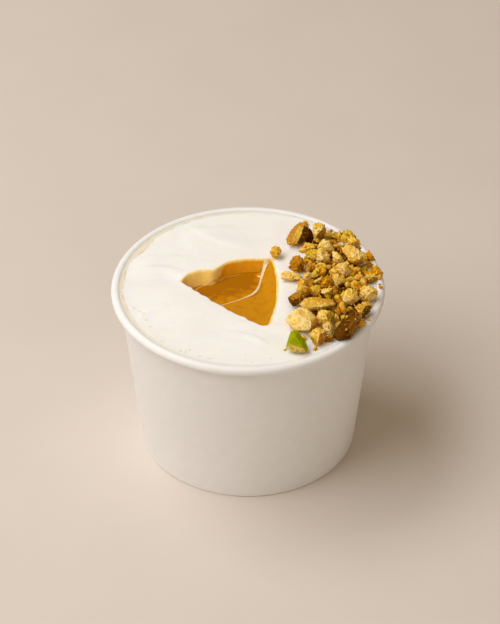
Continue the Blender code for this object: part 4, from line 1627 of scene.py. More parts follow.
MORSELS = (
    # The first two dark pieces fill gaps where the heap lies in shade; their dark brown is partly painted
    # shade.
    *plain_pieces("""
DARK 304.5,232 309,229 312.5,233 313,240 310,244 305.5,243
DARK 311,309 316,308.5 318.5,312 317,317 313,317.5 311,313
BROWN 304.5,288.5 310,288 312,292 311,297.5 306.5,298 304,293
BROWN 309.5,279.5 313.5,280 315,284.5 313,289.5 309.5,289
BROWN 317,288.5 321.5,288 322.8,292.5 320,296.5 316.8,294.5
BROWN 329,241.5 334,240 338,241.5 336.5,245.5 331.5,246
DARK 321.5,331.5 324.5,332 326,336.5 323,338
TAN 353,315 358,317.5 365,322.5 361.5,327 356,330.5 352,327
ORANGE 303.8,220.8 306.8,221.5 308,224 306.5,227 304,226 304.8,223.5
OLIVE 324,234 327,232.3 332,233 336.5,234.5 337.8,238 334,240 327,239.5 323.5,237.5
PALE 323,239.5 331,239.3 339,239.8 341.3,241 335,242.3 327,242
PALE 318.5,247 321,243 323.5,240.5 328.5,241.5 331,245.5 333.2,250 331,253 328,253.7 324.5,250.5
  320,249.5 324,245,4 329,249,5
CHALK 317.6,255 319,250 322,248.8 325,250.5 328,254.5 330,258.5 329,262.5 325,263.3 319.5,262.5 317,259
  321,253,5 323,259,6
GOLDEN 300,250.5 303.5,246.5 306.5,243.5 310,244.8 316,244.8 318,247.5 314,250 309,251 305,252.7 301.5,252
OLIVE 306.5,253 310.5,250.5 316.5,250 319,253 318,258 315,261 311,259.5 307,257
ORANGE 304.3,257.5 307,255.3 309.8,257.5 309,260.3 305.5,260
OLIVE 302.3,261 305,259.3 308,260.3 307.3,263 304,263.3
TAN 308,260.5 311.7,261.5 312,268 310,271 307.3,268.5
BROWN 312,261.5 316,262.5 316.5,266.5 314.5,270.5 312,270.5
TAN 304.3,266 308,264.8 311,269 309,272.5 305.3,271
GOLDEN 315,264.5 320,263 326,264 331,264.5 332,267 328,270 322,269.5 317.3,268.5
OLIVE 312,273.5 315,269.5 319.5,268.3 320.5,272 319,276.5 315.5,278 312.3,277
ORANGE 320,268.5 324.5,267.8 326.5,271 324.5,275.5 321,278 319.3,273
PALE 304.5,274.5 308.5,272.5 311,276.5 310.5,281 306,282 303.3,279
TAN 297.8,282.5 303,279.5 308.3,281.5 308.3,285.5 303,287.5 299,286.8
OLIVE 296.3,290.5 299,286.8 305,286.2 310,287.8 308.5,291 302,292 297.5,292.8
    """),
    Piece("310.3,289.5 313.5,286.3 318,285.8 321,288.5 321,293 318.5,296.3 315,296 311.5,293.5",
          Look.TAN, (Face((0.0, 0.8, 0.5), seen(214, 178, 44), 0.75),)),
    Piece("322.6,290 327,288.5 331.8,289.3 331.8,294 329.5,297 325.5,295.5 322.8,293.3", Look.PALE,
          (Face((0.8, -0.3, 0.5), seen(176, 144, 16), 0.7),)),
    *plain_pieces("""
ORANGE 324,278 330,276.8 332.5,281 331.5,285.5 327,288 321,287.5 322,283
PALE 313.6,281.5 318,279 321.5,276.8 322.5,279.5 318,283.8 314.3,284.5
CHALK 315.8,328 319,325.5 321.5,325.8 320.8,328.2 317,329.3
CHALK 323.8,326 326.5,322.3 330.5,322.3 332.3,328 334.5,333 332,335.8 327,334 324.5,330.5 327,327,4
  330,331,5
PALE 333.2,318 335.5,314.3 339,317 339.8,320.5 336.5,323.3 333.3,321.8
PALE 332.3,325 336,322.8 341.5,321.5 342.3,325 338,328 334,327.7
BROWN 325.8,337 332.5,335.5 333.5,340 329,342 326,341
TAN 300.5,337 304,335.5 306.5,338.5 304.5,341 302,340
ORANGE 313.5,350.3 314.5,347.5 316.3,346.5 317,348.5 315.5,350.6
GOLDEN 283,349.5 285.5,348.6 286.5,350 284.5,350.8
PALE 337.8,233.5 340,230.2 341.4,234 341.7,238.8 339,240 337.4,237
OLIVE 341.4,236 344.5,233.8 348.8,235.3 350,239 347.5,243.5 344,243 341.7,240
PALE 345.3,232.7 348,230.3 350.3,233 349.3,235.5 346,235
OLIVE 347.8,231.8 350,228.9 354.5,231.3 358,236 357.2,238.5 353.5,236.5 350,235
    """),
    Piece("348.3,239.5 352,235.8 355.3,238.3 358.2,240.5 358.6,243 357,246.3 352.5,246.8 349.3,244.8",
          Look.GOLDEN, (Face((-0.1, 0.2, 0.95), seen(196, 160, 24), 0.93),)),
    *plain_pieces("""
GOLDEN 355.8,239.3 359,239 360.5,241.5 358,243.3
BROWN 345,246 352,245 359,245.7 362.3,248.2 358,249.8 350,250 346,249
    """),
    # Its dark lower face is painted shadow under the piece.
    Piece("333,245.3 338,244.3 343.8,245.5 345,248.5 341,251.5 336,250.5", Look.TAN,
          (Face((0.0, -0.8, 0.5), seen(100, 58, 8), 0.7),
           Face((0.0, 0.3, 0.95), seen(172, 112, 46), 0.8))),
    *plain_pieces("""
PALE 333.6,252 337,252.8 341,256.5 343.4,260.5 341.5,264 338,263 333.6,263 334,257
ORANGE 365.7,256 367.3,252.5 369.5,251.3 371.7,254 373.8,257.5 375.3,260.7 370.5,261 367,259
ORANGE 366.3,263 369,261.2 372.9,264.5 370.5,267 367,266
OLIVE 360.3,266.3 364,264 367.3,265.3 366.8,268.3 362,268.5
ORANGE 371.2,270.7 373,267.3 376.5,266.4 379.7,269.3 382.2,273 380.5,275.5 375,275 371.7,273.5
GOLDEN 377.7,276 382,274.3 383.2,277 381,279.8 378.3,279
ORANGE 359.3,272 364,271 372,271.7 378,272.3 377.5,275.3 368,275.3 361,275
CHALK 336.6,267 340,264.2 344.8,264 347.5,268 349.8,272 347.8,275.8 343,276.5 340.3,273.5 337.8,270.8
  341,267,5 345,271.5,6
PALE 343.2,263 347,261.8 349.8,264.3 349.5,268 346,266.5
OLIVE 349.2,266 352.5,265 354.4,268 352,271 349.3,270
ORANGE 331.7,265.7 334.5,262.7 338.3,263.8 337.3,267 335.5,269.4 332.8,267.8
GOLDEN 329.8,271.2 333,267.2 337,269.7 339,273.2 335.5,276 331.3,276
PALE 332.2,279.2 334.5,275.7 339,275.7 343.3,278.5 344,281.3 341,285.5 337,286.5 333.2,284 336,279,4
  340,281.5,5
TAN 352.8,268.7 357,267.2 360.5,268.3 359.8,272 355,273
OLIVE 346.2,278.7 350,277 354.3,277.7 354.5,281 350,281.7 347,283
TAN 354.2,277 358,274 362,275.7 361.5,280.3 357,282 354.2,280
GOLDEN 359.7,280.3 363,277.7 366.5,280.3 366.9,284.3 363.5,287.5 360.2,284.5
    """),
    Piece("365.7,276.7 370,274 374.8,274.7 376.5,278 373.2,282 369.5,282.7 366.7,280", Look.PALE,
          (Face((0.3, -0.8, 0.5), seen(150, 110, 14), 0.7),)),
    *plain_pieces("""
TAN 350.7,283.8 355,280.8 360,282.3 362,286 357,288.8 351.7,287.6
OLIVE 345.2,283.2 348,281.2 350.4,284 348.8,288 345.8,287
ORANGE 378,284.3 379.5,283.3 381,284.3 379.5,285.2
ORANGE 380.3,286.5 382,284.8 384.3,287 383.5,289 381.5,288.5
TAN 339.8,305 342.5,301.5 345,305.5 346,312 344.3,317.5 341,315
BROWN 335.6,308.5 338,305 340.4,308.3 340.5,313 336.7,313.3
OLIVE 346.7,307.6 350,306.3 353.2,308.4 352.2,310.5 348.5,310.4
OLIVE 340.6,296 343.5,290.8 346.4,294.6 345.3,299.5 343,302.5 341,299.8
OLIVE 341.2,317 344,315 347.4,318 345.8,322 342.3,322
TAN 357,320.3 360,318 363,321 361.3,325.5 357.6,326
GOLDEN 360.7,322.3 364,321.2 366.4,323.5 363.5,326 360.8,326
BROWN 352.6,311.3 356.5,309.6 358.5,313 355.6,315.6
GOLDEN 367.7,319.5 370,318.4 371.3,320.3 369,321.4
BROWN 331.6,288.5 336,285.7 338.4,290 337.3,296.5 332.8,297.4
BROWN 335.8,300.3 341,298.6 342.4,303 338,305.4
OLIVE 355.5,232.5 358.5,234.5 358.8,237.5 356.5,236.8
PALE 361.5,253 364,252 366,254.5 364.5,257 362,255.5
OLIVE 361.2,288 365,285.5 366.5,288.5 363,292.5 361,291
ORANGE 354.5,282.8 360.5,283.5 361.5,290 358.5,293.5 354.5,290.5
    """),
)


HEAP_OUTLINE = ((301, 250), (308, 238), (314, 226), (330, 231), (345, 231), (357, 238), (364, 256),
                (376, 271), (370, 284), (374, 298), (357, 320), (337, 340), (324, 337), (312, 334),
                (306, 314), (299, 300), (300, 285), (306, 275), (304, 262))


def ramp(values: Array, low: float, high: float) -> Array:
    """Rise straight from 0 at low to 1 at high."""
    return np.clip((values - low) / (high - low), 0.0, 1.0)


class Waves:
    """Smooth noise for many points at once: waves that run in random directions."""

    def __init__(self, seed: int, count: int = 16) -> None:
        """Draw the waves.

        Args:
            seed: What the draws start from.
            count: How many waves are summed.
        """
        draw = np.random.default_rng(seed)
        ways = draw.normal(size=(3, count))
        self.ways = ways / np.linalg.norm(ways, axis=0) * draw.uniform(0.6, 1.5, count)
        self.starts = draw.uniform(0.0, math.tau, count)

    def at(self, points: Array, wavelength: float, offset: float = 0.0) -> Array:
        """The noise at each point, mostly from -1 to 1; an offset gives other noise."""
        phases = points @ self.ways * (math.tau / wavelength) + self.starts * (1.0 + offset)
        return np.sin(phases).sum(axis=1) / math.sqrt(2.0 * len(self.starts))


class HeightField:
    """The topmost surface over a fine grid: what falls comes to rest on it."""

    def __init__(self, surface: Surface, low: Vector, high: Vector, cell: float) -> None:
        """Sample a surface.

        Args:
            surface: Its height at a place in plan.
            low: The grid's lowest corner.
            high: Its highest corner.
            cell: The grid's spacing.
        """
        self.low, self.cell = np.array(low), cell
        counts = [int((b - a) / cell) + 1 for a, b in zip(low, high)]
        rows = [[surface(Vector((low.x + i * cell, low.y + j * cell))) for j in range(counts[1])]
                for i in range(counts[0])]
        self.heights = np.array(rows)

    def cells(self, points: Array) -> tuple[Array, Array]:
        """Find the grid cells under points, clamped to the grid.

        Args:
            points: The points.

        Returns:
            The cells' rows and columns.
        """
        index = np.rint((points[:, :2] - self.low) / self.cell).astype(int)
        limits = np.array(self.heights.shape) - 1
        index = np.clip(index, 0, limits)
        return index[:, 0], index[:, 1]

    def fall(self, points: Array, give: float) -> float:
        """How far points can fall until a share of them, give, has sunk in."""
        return float(np.quantile(points[:, 2] - self.heights[self.cells(points)], give))

    def cover(self, points: Array) -> None:
        """Raise the surface to what now lies there."""
        np.maximum.at(self.heights, self.cells(points), points[:, 2])


@dataclass
class Lump:
    """A shaped piece: its points, and each one's share of skin, shade and side's direction."""

    points: Array
    skin: Array
    shade: Array
    normals: Array


@dataclass(frozen=True)
class Wear:
    """How a piece is broken.

    It has hollow chips and flat cuts. Kept is the least and the greatest share of its size that
    a cut leaves, least_facing how much a cut faces the camera, from -1 to 1, and crumbled how
    rough its sides are, as a share.
    """

    chips: int = 3
    cuts: int = 4
    kept: Pair = (0.82, 0.95)
    least_facing: float = 0.75
    crumbled: float = 1.0


@dataclass
class Body:
    """A many-sided body round the origin: how far it reaches in each of its directions.

    Its side says which flat side is there, and beside comes near 1 along the edges.
    """

    directions: Array
    normals: Array
    distances: Array
    edge_sharpness: float = 90.0
    chip_radius: Pair = (0.5, 1.2)
    chip_depth: Pair = (0.06, 0.22)
    least_left: float = 0.5

    def __post_init__(self) -> None:
        """Find its reach, with the edges between its sides a little worn."""
        facing = np.maximum(self.directions @ self.normals.T, 0.0) / self.distances
        most = facing.max(axis=1)
        powers = (facing / most[:, None]) ** self.edge_sharpness
        self.reach = powers.sum(axis=1) ** (-1.0 / self.edge_sharpness) / most
        self.side = facing.argmax(axis=1)
        self.beside = np.partition(facing, -2, axis=1)[:, -2] / most

    def chip(self, draw: random.Random) -> None:
        """Break a hollow chip out of it.

        Args:
            draw: Where the random numbers come from.
        """
        toward = draw.randrange(len(self.directions))
        radius = self.reach.mean() * draw.uniform(*self.chip_radius)
        out = self.reach[toward] * (1 - draw.uniform(*self.chip_depth)) + radius
        along = self.directions @ (self.directions[toward] * out)
        inside = along**2 - out**2 + radius**2
        left = along - np.sqrt(np.maximum(inside, 0.0))
        broken = (inside > 0.0) & (along > 0.0) & (left < self.reach)
        self.reach = np.where(broken, np.maximum(left, self.least_left * self.reach), self.reach)

    def cut(self, way: Array, kept: float) -> None:
        """Cut it flat, square to a direction, so that a share of its size is kept.

        Args:
            way: The direction.
            kept: The share.
        """
        along = self.directions @ way
        flat = (self.reach * along).max() * kept / np.maximum(along, 0.05)
        off = flat < self.reach
        self.side = np.where(off, len(self.normals), self.side)
        near = np.where(off, flat / self.reach, self.reach / flat)
        self.beside = np.maximum(near, np.where(off, 0.6, self.beside))
        self.reach = np.minimum(self.reach, flat)
        self.normals = np.vstack([self.normals, way])


@dataclass
class NutShapes:
    """Makes chopped pieces: many-sided bodies whose sides are crumbled."""

    view: PhotoView
    crumble: float = 0.18 * MM
    most_crumble: float = 0.1
    crumble_waves: Pair = (1.5 * MM, 0.6 * MM)
    side_crumble: float = 0.45
    crumbled_edge: Pair = (0.84, 0.94)
    fine_crumble: float = 0.8
    skin_facing: float = 0.7
    skin_edge: float = 0.25
    skin_band: Pair = (0.9, 0.98)
    blotch_wave: float = 3.4 * MM
    fleck_wave: float = 1.4 * MM
    flesh_spread: float = 1.2
    flesh_shift: float = 0.1
    flesh_blotches: float = 0.35
    border_flecks: float = 0.12
    rough_shades: Pair = (0.76, 0.82)
    rough_share: float = 0.6
    face_blur: float = 0.05
    face_share: float = 0.9
    fleck_band: Pair = (0.35, 0.6)
    fleck_share: float = 0.7
    skin_spread: float = 1.8
    skin_blotches: float = 0.5
    skin_shift: float = 0.4
    skin_share: float = 0.7
    # Painted shade on each lump's lower part: how high it reaches, how it fades, its flecks and its dark
    # brown.
    painted_shade_height: float = 0.52
    painted_shade_fade: float = 0.35
    painted_shade_flecks: float = 0.3
    low_down: Colour = seen(92, 52, 4)

    def __post_init__(self) -> None:
        """Set up the noise and the camera's directions."""
        self.waves = Waves(5)
        self.balls: dict[int, Array] = {}
        up = Vector((0.0, math.sin(self.view.elevation), math.cos(self.view.elevation)))
        self.axes = np.array([(1.0, 0.0, 0.0), up[:], self.view.back[:]])

    def ball(self, fineness: int) -> Array:
        """The directions of an icosphere's points, made once for each fineness.

        Args:
            fineness: How often it is subdivided.

        Returns:
            The directions.
        """
        if fineness not in self.balls:
            bm = bmesh.new()
            bmesh.ops.create_icosphere(bm, subdivisions=fineness, radius=1.0)
            self.balls[fineness] = np.array([vert.co.normalized() for vert in bm.verts])
            bm.free()
        return self.balls[fineness]

    @staticmethod
    def hull_planes(corners: Array) -> tuple[Array, Array]:
        """Find the planes of the sides of the convex body round some corners.

        Args:
            corners: The corners, round the origin.

        Returns:
            The sides' outward normals and their distances from the origin.
        """
        bm = bmesh.new()
        verts = [bm.verts.new(corner) for corner in corners / MM]
        bmesh.ops.convex_hull(bm, input=verts)
        bm.normal_update()
        bmesh.ops.recalc_face_normals(bm, faces=bm.faces)
        normals = np.array([face.normal[:] for face in bm.faces])
        distances = np.array([face.normal.dot(face.verts[0].co) for face in bm.faces])
        bm.free()
        return normals, np.maximum(distances, 0.15) * MM

    def chipped(self, corners: Array, fineness: int, draw: random.Random, wear: Wear) -> Lump:
        """Make the many-sided body of some corners, with worn edges and crumbled sides.

        Args:
            corners: The corners, round the origin.
            fineness: How fine its icosphere is.
            draw: Where its random choices come from.
            wear: How it is broken.

        Returns:
            The lump.
        """
        body = Body(self.ball(fineness), *self.hull_planes(corners))
        for _ in range(wear.chips):
            body.chip(draw)
        ways = body.directions[body.directions @ self.axes[2] >= wear.least_facing]
        for _ in range(wear.cuts):
            body.cut(ways[draw.randrange(len(ways))], draw.uniform(*wear.kept))
        points = body.directions * body.reach[:, None]
        offset = draw.uniform(0.0, 40.0)
        coarse, fine = (self.waves.at(points, wave, offset) for wave in self.crumble_waves)
        along_edges = ramp(body.beside, *self.crumbled_edge)
        roughness = self.side_crumble + (1.0 - self.side_crumble) * along_edges
        depth = np.minimum(self.crumble, self.most_crumble * body.reach) * wear.crumbled * roughness
        relief = 1.0 - 2.0 * np.abs(coarse) + self.fine_crumble * fine
        points += body.directions * (depth * relief)[:, None]
        shades = np.array([draw.uniform(0.0, 1.0) for _ in body.normals])
        normals = body.normals[body.side]
        skin = np.clip(self.skin_facing - normals @ self.axes[2], 0.0, 1.0)
        skin += self.skin_edge * ramp(body.beside, *self.skin_band)
        return Lump(points, skin, shades[body.side], normals)

    def seen_piece(self, piece: Piece, fineness: int, draw: random.Random,
                   grow: float = 1.0) -> Lump:
        """Make a piece whose outline is the one that is seen.

        Args:
            piece: The piece.
            fineness: How fine its icosphere is.
            draw: Where its random choices come from.
            grow: How much larger than seen it is, for what its neighbours cover.

        Returns:
            The lump, about the outline's middle.
        """
        scale = grow / self.view.pixels_per_metre
        flat = (piece.outline - piece.middle) * scale
        thick = 0.5 * min(np.ptp(flat, axis=0)) * draw.uniform(0.8, 1.0)
        corners = [(x, -y, thick * draw.uniform(-0.3, 0.1)) for x, y in flat]
        crests = (piece.rows(3) - (*piece.middle, 0.0)) * scale
        corners += [(x, -y, out) for x, y, out in crests]
        if not len(crests):
            corners += self.bumps(flat, thick, draw)
        corners += self.bumps(flat, -thick, draw)
        wear = Wear(cuts=0 if len(crests) else 4, crumbled=piece.crumbled)
        return self.chipped(np.array(corners) @ self.axes, fineness, draw, wear)

    @staticmethod
    def bumps(flat: Array, out: float, draw: random.Random) -> list[tuple[float, float, float]]:
        """Draw two or three points that stand out of an outline to one side.

        Args:
            flat: The outline.
            out: How far they stand out.
            draw: Where the random numbers come from.

        Returns:
            The points.
        """
        first, count = draw.randrange(len(flat)), draw.choice((2, 3))
        chosen = [flat[(first + step * len(flat) // count) % len(flat)] * draw.uniform(0.3, 0.75)
                  for step in range(count)]
        return [(x, -y, out * draw.uniform(0.5, 1.15)) for x, y in chosen]

    def random_piece(self, size: Sequence[float], fineness: int, draw: random.Random) -> Lump:
        """Make a random piece of about a size.

        Args:
            size: Its size in x, y and z.
            fineness: How fine its icosphere is.
            draw: Where its random choices come from.

        Returns:
            The lump.
        """
        corners = [np.array([draw.gauss(0, 1) for _ in range(3)]) for _ in range(5)]
        corners = np.array([corner / np.linalg.norm(corner) * draw.uniform(0.8, 1.3) for corner in corners])
        corners = np.concatenate([corners, -draw.uniform(0.5, 0.9) * corners[:3]])
        turn = Euler([draw.uniform(0.0, math.tau) for _ in range(3)]).to_matrix()
        corners = corners * np.array(size) / 2 @ np.array(turn)
        return self.chipped(corners, fineness, draw, Wear(2, 4, (0.65, 0.92), -1.0))

    @staticmethod
    def new_mesh() -> Mesh:
        """Start a bmesh whose points can be painted.

        Returns:
            The bmesh.
        """
        bm = bmesh.new()
        bm.verts.layers.float_color.new("tone")
        return bm

    def add(self, bm: Mesh, fineness: int, lump: Lump, look: Look,
            faces: Sequence[Face], offset: float) -> None:
        """Add a lump to a bmesh and paint it.

        Args:
            bm: The mesh.
            fineness: How fine the lump's icosphere is.
            lump: The lump, in its place.
            look: Its look.
            faces: Sides with a colour of their own.
            offset: Gives its blotches another place.
        """
        tone = bm.verts.layers.float_color["tone"]
        verts = bmesh.ops.create_icosphere(bm, subdivisions=fineness, radius=1.0)["verts"]
        colours = self.colours(lump, look.value, faces, offset)
        for vert, point, colour in zip(verts, lump.points, colours):
            vert.co = point
            vert[tone] = colour

    def colours(self, lump: Lump, palette: Palette, faces: Sequence[Face],
                offset: float) -> Array:
        """Find a lump's colours: flesh on its cuts, skin round it, flecks, its own faces and painted shade
        over its lower part.

        Args:
            lump: The lump.
            palette: Its look's colours.
            faces: Sides with a colour of their own.
            offset: Gives its blotches another place.

        Returns:
            A colour for each point.
        """
        broad = self.waves.at(lump.points, self.blotch_wave, offset)
        fleck = self.waves.at(lump.points, self.fleck_wave, offset + 3.0)
        share = self.flesh_spread * lump.shade - self.flesh_shift + self.flesh_blotches * broad
        share = np.clip(share, 0.0, 1.0)
        colours = self.blend(np.array([palette.flesh] * len(share)), palette.second, share)
        rough_sides = ramp(lump.shade + self.border_flecks * fleck, *self.rough_shades)
        colours = self.blend(colours, palette.fleck, self.rough_share * rough_sides)
        for face in faces:
            way = np.array(face.direction) / np.linalg.norm(face.direction) @ self.axes
            facing = lump.normals @ way + self.border_flecks * fleck - face.threshold
            own = ramp(facing, -self.face_blur, self.face_blur)
            colours = self.blend(colours, face.colour, self.face_share * own)
            lump.skin = lump.skin * (1.0 - own)
        colours = self.blend(colours, palette.fleck, self.fleck_share * ramp(fleck, *self.fleck_band))
        worn = self.skin_spread * lump.skin + self.skin_blotches * broad - self.skin_shift
        colours = self.blend(colours, palette.skin, self.skin_share * np.clip(worn, 0.0, 1.0))
        # Painted shade: the lower part of each lump darkens towards dark brown, where the pieces shade one
        # another.
        heights = lump.points[:, 2]
        low = self.painted_shade_height - (heights - heights.min()) / np.ptp(heights)
        low = low / self.painted_shade_fade + self.painted_shade_flecks * fleck
        return self.blend(colours, self.low_down, palette.painted_shade_share * np.clip(low, 0.0, 1.0))

    @staticmethod
    def blend(colours: Array, other: Colour, share: Array) -> Array:
        """Mix another colour into each point's own."""
        return colours + (np.array(other) - colours) * share[:, None]


@dataclass(frozen=True)
class Scatter:
    """Random pieces over the heap: how many, how long in mm, how fine, and how far they sink in."""

    name: str
    count: int
    lengths: Pair
    fineness: int
    give: float
    looks: tuple[Look, ...]


SCATTERS = (
    # The fillers lean to brown and dark and lie low in the gaps, so their colour is partly painted shade
    # between the pieces.
    Scatter("nut_fillers", 150, (2.6, 5.0), 4, 0.4,
            (Look.BROWN, Look.DARK, Look.ORANGE, Look.OLIVE, Look.GOLDEN, Look.BROWN)),
    Scatter("nut_grit", 260, (1.3, 2.8), 3, 0.2,
            (Look.BROWN, Look.ORANGE, Look.OLIVE, Look.GOLDEN, Look.TAN)),
    Scatter("nut_crumbs", 90, (0.6, 1.6), 3, 0.15,
            (Look.GOLDEN, Look.OLIVE, Look.PALE, Look.ORANGE, Look.TAN)),
)


@dataclass
class Pistachios:
    """The chopped pistachios: the large pieces, the heap and the crumbs."""

    cup: PaperCup
    cream: IceCream
    view: PhotoView
    core_centre: Vector = field(default_factory=lambda: Vector((29.0, 1.0)) * MM)
    core_reach: float = 39.3 * MM
    core_height: float = 2.6 * MM
    core_edge_height: float = 1.5 * MM
    core_lift: float = 0.2 * MM
    core_sunk: Pair = (0.3 * MM, 0.6 * MM)
    core_border: float = 0.97
    core_sides: tuple[tuple[Pair, float], ...] = (((20.0, 0.0), 180.0), ((22.5, -15.0), -140.0),
                                                  ((25.0, 27.5), 82.0))
    core_rings: int = 44
    core_columns: int = 150
    # Dark and mid brown of the crumbs, dark enough to paint the shade in the heap's gaps.
    core_crumb_and_shade_tones: tuple[Colour, Colour] = (seen(60, 32, 6), seen(142, 90, 20))
    core_blotches: Ripples = Ripples(0.5, 1.6 * MM, 9.0)
    crumb_spacing: float = 1.9 * MM
    crumb_height: float = 0.7 * MM
    crumb_sunk: float = 0.2 * MM
    crumb_reach: float = 0.6
    core_fade: Pair = (0.98, 0.72)
    field_corners: tuple[Pair, Pair] = ((4.0, -40.0), (46.0, 38.0))
    field_cell: float = 0.35 * MM
    least_ground: float = 59.0 * MM
    drop_height: float = 74.0 * MM
    first_guess: float = 62.5 * MM
    rounds: int = 7
    pace: float = 0.7
    grow: float = 1.2
    most_out: float = 43.5 * MM
    most_x: float = 44.85 * MM
    most_z: float = 67.7 * MM
    give: float = 0.1
    paint_offsets: float = 40.0
    fine_kernel: float = 17.0
    fine_morsel: float = 7.5
    seed: int = 11

    def __post_init__(self) -> None:
        """Sample what the pieces fall on."""
        self.shapes = NutShapes(self.view)
        low, high = (Vector(corner) * MM for corner in self.field_corners)
        self.field = HeightField(self.ground, low, high, self.field_cell)
        self.draw = random.Random(self.seed)
        self.material = NutFinish().material()

    def core_share(self, plan: Vector) -> float:
        """How far a place is from the core's middle to its border, 1 at the border.

        Args:
            plan: The place.

        Returns:
            The share.
        """
        away = plan - self.core_centre
        if away.length < 1e-9:
            return 0.0
        direction = away.normalized()
        reach = way_out(self.core_centre, direction, self.core_reach)
        for point, facing in self.core_sides:
            out = heading(math.radians(facing))
            if direction.dot(out) > 0:
                reach = min(reach, (Vector(point) * MM - self.core_centre).dot(out) / direction.dot(out))
        return away.length / reach

    def core_top(self, plan: Vector) -> float:
        """The height of the core's top, a mound of crumbs.

        Args:
            plan: The place.

        Returns:
            The height.
        """
        share = self.core_share(plan)
        mound = self.core_edge_height + (self.core_height - self.core_edge_height) * (1 - share**2)
        nearest = noise.voronoi(raised(plan, 0.0) / self.crumb_spacing)[0][0]
        crumbs = self.crumb_height * max(0.0, 1.0 - (nearest / self.crumb_reach) ** 2) - self.crumb_sunk
        fade = eased(share, *self.core_fade)
        top = (mound + self.core_lift + crumbs) * fade
        return self.cream.levelled(plan) + top - self.core_sunk[0]

    def ground(self, plan: Vector) -> float:
        """What the pieces fall on: the ice cream, the cup's rim and the core.

        Args:
            plan: The place.

        Returns:
            The height.
        """
        height = max(self.cup.rest_height(plan), self.least_ground)
        if plan.length < self.cup.wall_radius(self.least_ground):
            height = max(height, self.cream.height(plan))
        if self.core_share(plan) < self.core_border:
            height = max(height, self.core_top(plan))
        return height

    def build(self) -> None:
        """Make the large pieces, the core, the heap on it and the crumbs."""
        self.build_core()
        placed = [self.build_kernel(kernel) for kernel in KERNELS]
        *low_down, on_top = SCATTERS
        for scatter in low_down:
            self.build_scatter(scatter)
        placed += self.build_morsels()
        for points in placed:
            self.field.cover(points)
        self.build_scatter(on_top)

    def build_core(self) -> None:
        """Make the mound of crumbs under the heap, its dark brown partly painted shade for the gaps between
        the pieces.
        """
        top_rings = self.core_rings - 2

        def place(ring: int, column: int) -> Vector:
            """The place of a point on the mound or its underside."""
            ray = heading(math.tau * column / self.core_columns) * MM
            border = self.core_centre + ray / self.core_share(self.core_centre + ray)
            if ring > top_rings:
                share = (self.core_rings - ring) / 2 * self.core_border
                plan = self.core_centre.lerp(border, share)
                return raised(plan, self.cream.levelled(plan) - self.core_sunk[1])
            plan = self.core_centre.lerp(border, ring / top_rings * self.core_border)
            return raised(plan, self.core_top(plan))

        bm = polar_sheet(self.core_rings, self.core_columns, place)
        tone = bm.verts.layers.float_color.new("tone")
        for vert in bm.verts:
            share = 0.5 + self.core_blotches.at(vert.co.xy)
            vert[tone] = mixed(*self.core_crumb_and_shade_tones, eased(share, 0.3, 0.9))
        add_piece("crumb_mound_and_gap_shade", bm, self.material, ["pistachio_heap"])

    def build_kernel(self, kernel: Piece) -> Array:
        """Make one large piece in its node's place.

        Args:
            kernel: The piece.

        Returns:
            Its points.
        """
        node = "pistachio_" + kernel.node
        low, high = (np.array(corner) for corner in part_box(node))
        fineness = 5 if kernel.breadth < self.fine_kernel else 6
        lump = self.shapes.seen_piece(kernel, fineness, self.draw)
        own_low, own_high = lump.points.min(0), lump.points.max(0)
        lump.points = (lump.points - own_low) / (own_high - own_low) * (high - low) + low
        bm = self.shapes.new_mesh()
        offset = self.draw.uniform(0, self.paint_offsets)
        self.shapes.add(bm, fineness, lump, kernel.look, kernel.faces, offset)
        add_piece("nut_" + kernel.node, bm, self.material, [node])
        return lump.points

    def rest(self, points: Array, plan: Vector, give: float) -> Array:
        """Let a piece fall at a place.

        Args:
            points: Its points about the origin.
            plan: The place.
            give: The share of its points that sinks in.

        Returns:
            Its points at rest, inside the cup's reach.
        """
        plan = plan * min(self.most_out / plan.length, 1.0)
        over = min(self.most_x - plan.x - points[:, 0].max(), 0.0)
        placed = points + np.array((plan.x + over, plan.y, self.drop_height))
        placed[:, 2] -= self.field.fall(placed, give)
        placed[:, 2] += min(self.most_z - placed[:, 2].max(), 0.0)
        return placed

    def rest_seen(self, points: Array, spot: Sequence[float], give: float) -> Array:
        """Let a piece fall so that its middle is seen at a pixel.

        Args:
            points: Its points about the origin.
            spot: The pixel.
            give: The share of its points that sinks in.

        Returns:
            Its points at rest.
        """
        height = self.first_guess
        for _ in range(self.rounds):
            placed = self.rest(points, self.view.plan_at(spot, height), give)
            height += self.pace * (placed[0, 2] - points[0, 2] - height)
        return placed

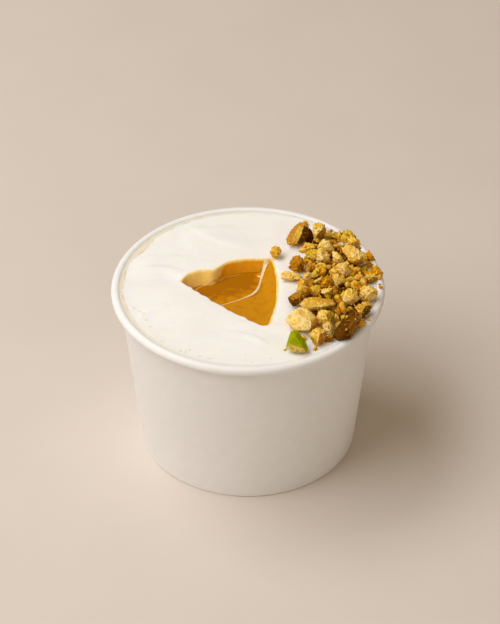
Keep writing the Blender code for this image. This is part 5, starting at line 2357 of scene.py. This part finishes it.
    def build_morsels(self) -> list[Array]:
        """Make the heap's pieces that show, one by one where they are seen.

        Returns:
            Each piece's points.
        """
        meshes = {look: self.shapes.new_mesh() for look in Look if look is not Look.GREEN}
        placed = []
        for morsel in MORSELS:
            fineness = 5 if morsel.breadth > self.fine_morsel else 4
            lump = self.shapes.seen_piece(morsel, fineness, self.draw, self.grow)
            lump.points = self.rest_seen(lump.points, morsel.middle, self.give)
            placed.append(lump.points)
            self.shapes.add(meshes[morsel.look], fineness, lump, morsel.look, morsel.faces,
                            self.draw.uniform(0, self.paint_offsets))
        for look, bm in meshes.items():
            add_piece("nut_morsels_" + look.name.lower(), bm, self.material)
        return placed

    def random_spot(self) -> Pair:
        """A random pixel of the heap.

        Returns:
            The pixel.
        """
        xs, ys = zip(*HEAP_OUTLINE)
        while True:
            x, y = self.draw.uniform(min(xs), max(xs)), self.draw.uniform(min(ys), max(ys))
            left_of = [x < ax + (y - ay) * (bx - ax) / (by - ay) for (ax, ay), (bx, by)
                       in zip(HEAP_OUTLINE, HEAP_OUTLINE[1:] + HEAP_OUTLINE[:1]) if (ay > y) != (by > y)]
            if sum(left_of) % 2:
                return x, y

    def build_scatter(self, scatter: Scatter) -> None:
        """Scatter random pieces over the heap.

        Args:
            scatter: What is scattered.
        """
        bm = self.shapes.new_mesh()
        for _ in range(scatter.count):
            length = self.draw.uniform(*scatter.lengths) * MM
            size = (length * self.draw.uniform(0.6, 0.9), length, length * self.draw.uniform(0.35, 0.7))
            lump = self.shapes.random_piece(size, scatter.fineness, self.draw)
            lump.points = self.rest_seen(lump.points, self.random_spot(), scatter.give)
            look = self.draw.choice(scatter.looks)
            self.shapes.add(bm, scatter.fineness, lump, look, (), self.draw.uniform(0, self.paint_offsets))
        add_piece(scatter.name, bm, self.material)


def main() -> None:
    """Build the studio, then the cup and what fills it."""
    logging.basicConfig(level=logging.INFO, format="%(message)s")
    view = PhotoView()
    view.build()
    Studio().build()
    cup = PaperCup()
    cup.build()
    cream = IceCream(cup, view)
    cream.build()
    coffee = CoffeePool(cream)
    coffee.build()
    CreamThreads(coffee, view).build()
    Pistachios(cup, cream, view).build()


if __name__ == "__main__":
    main()
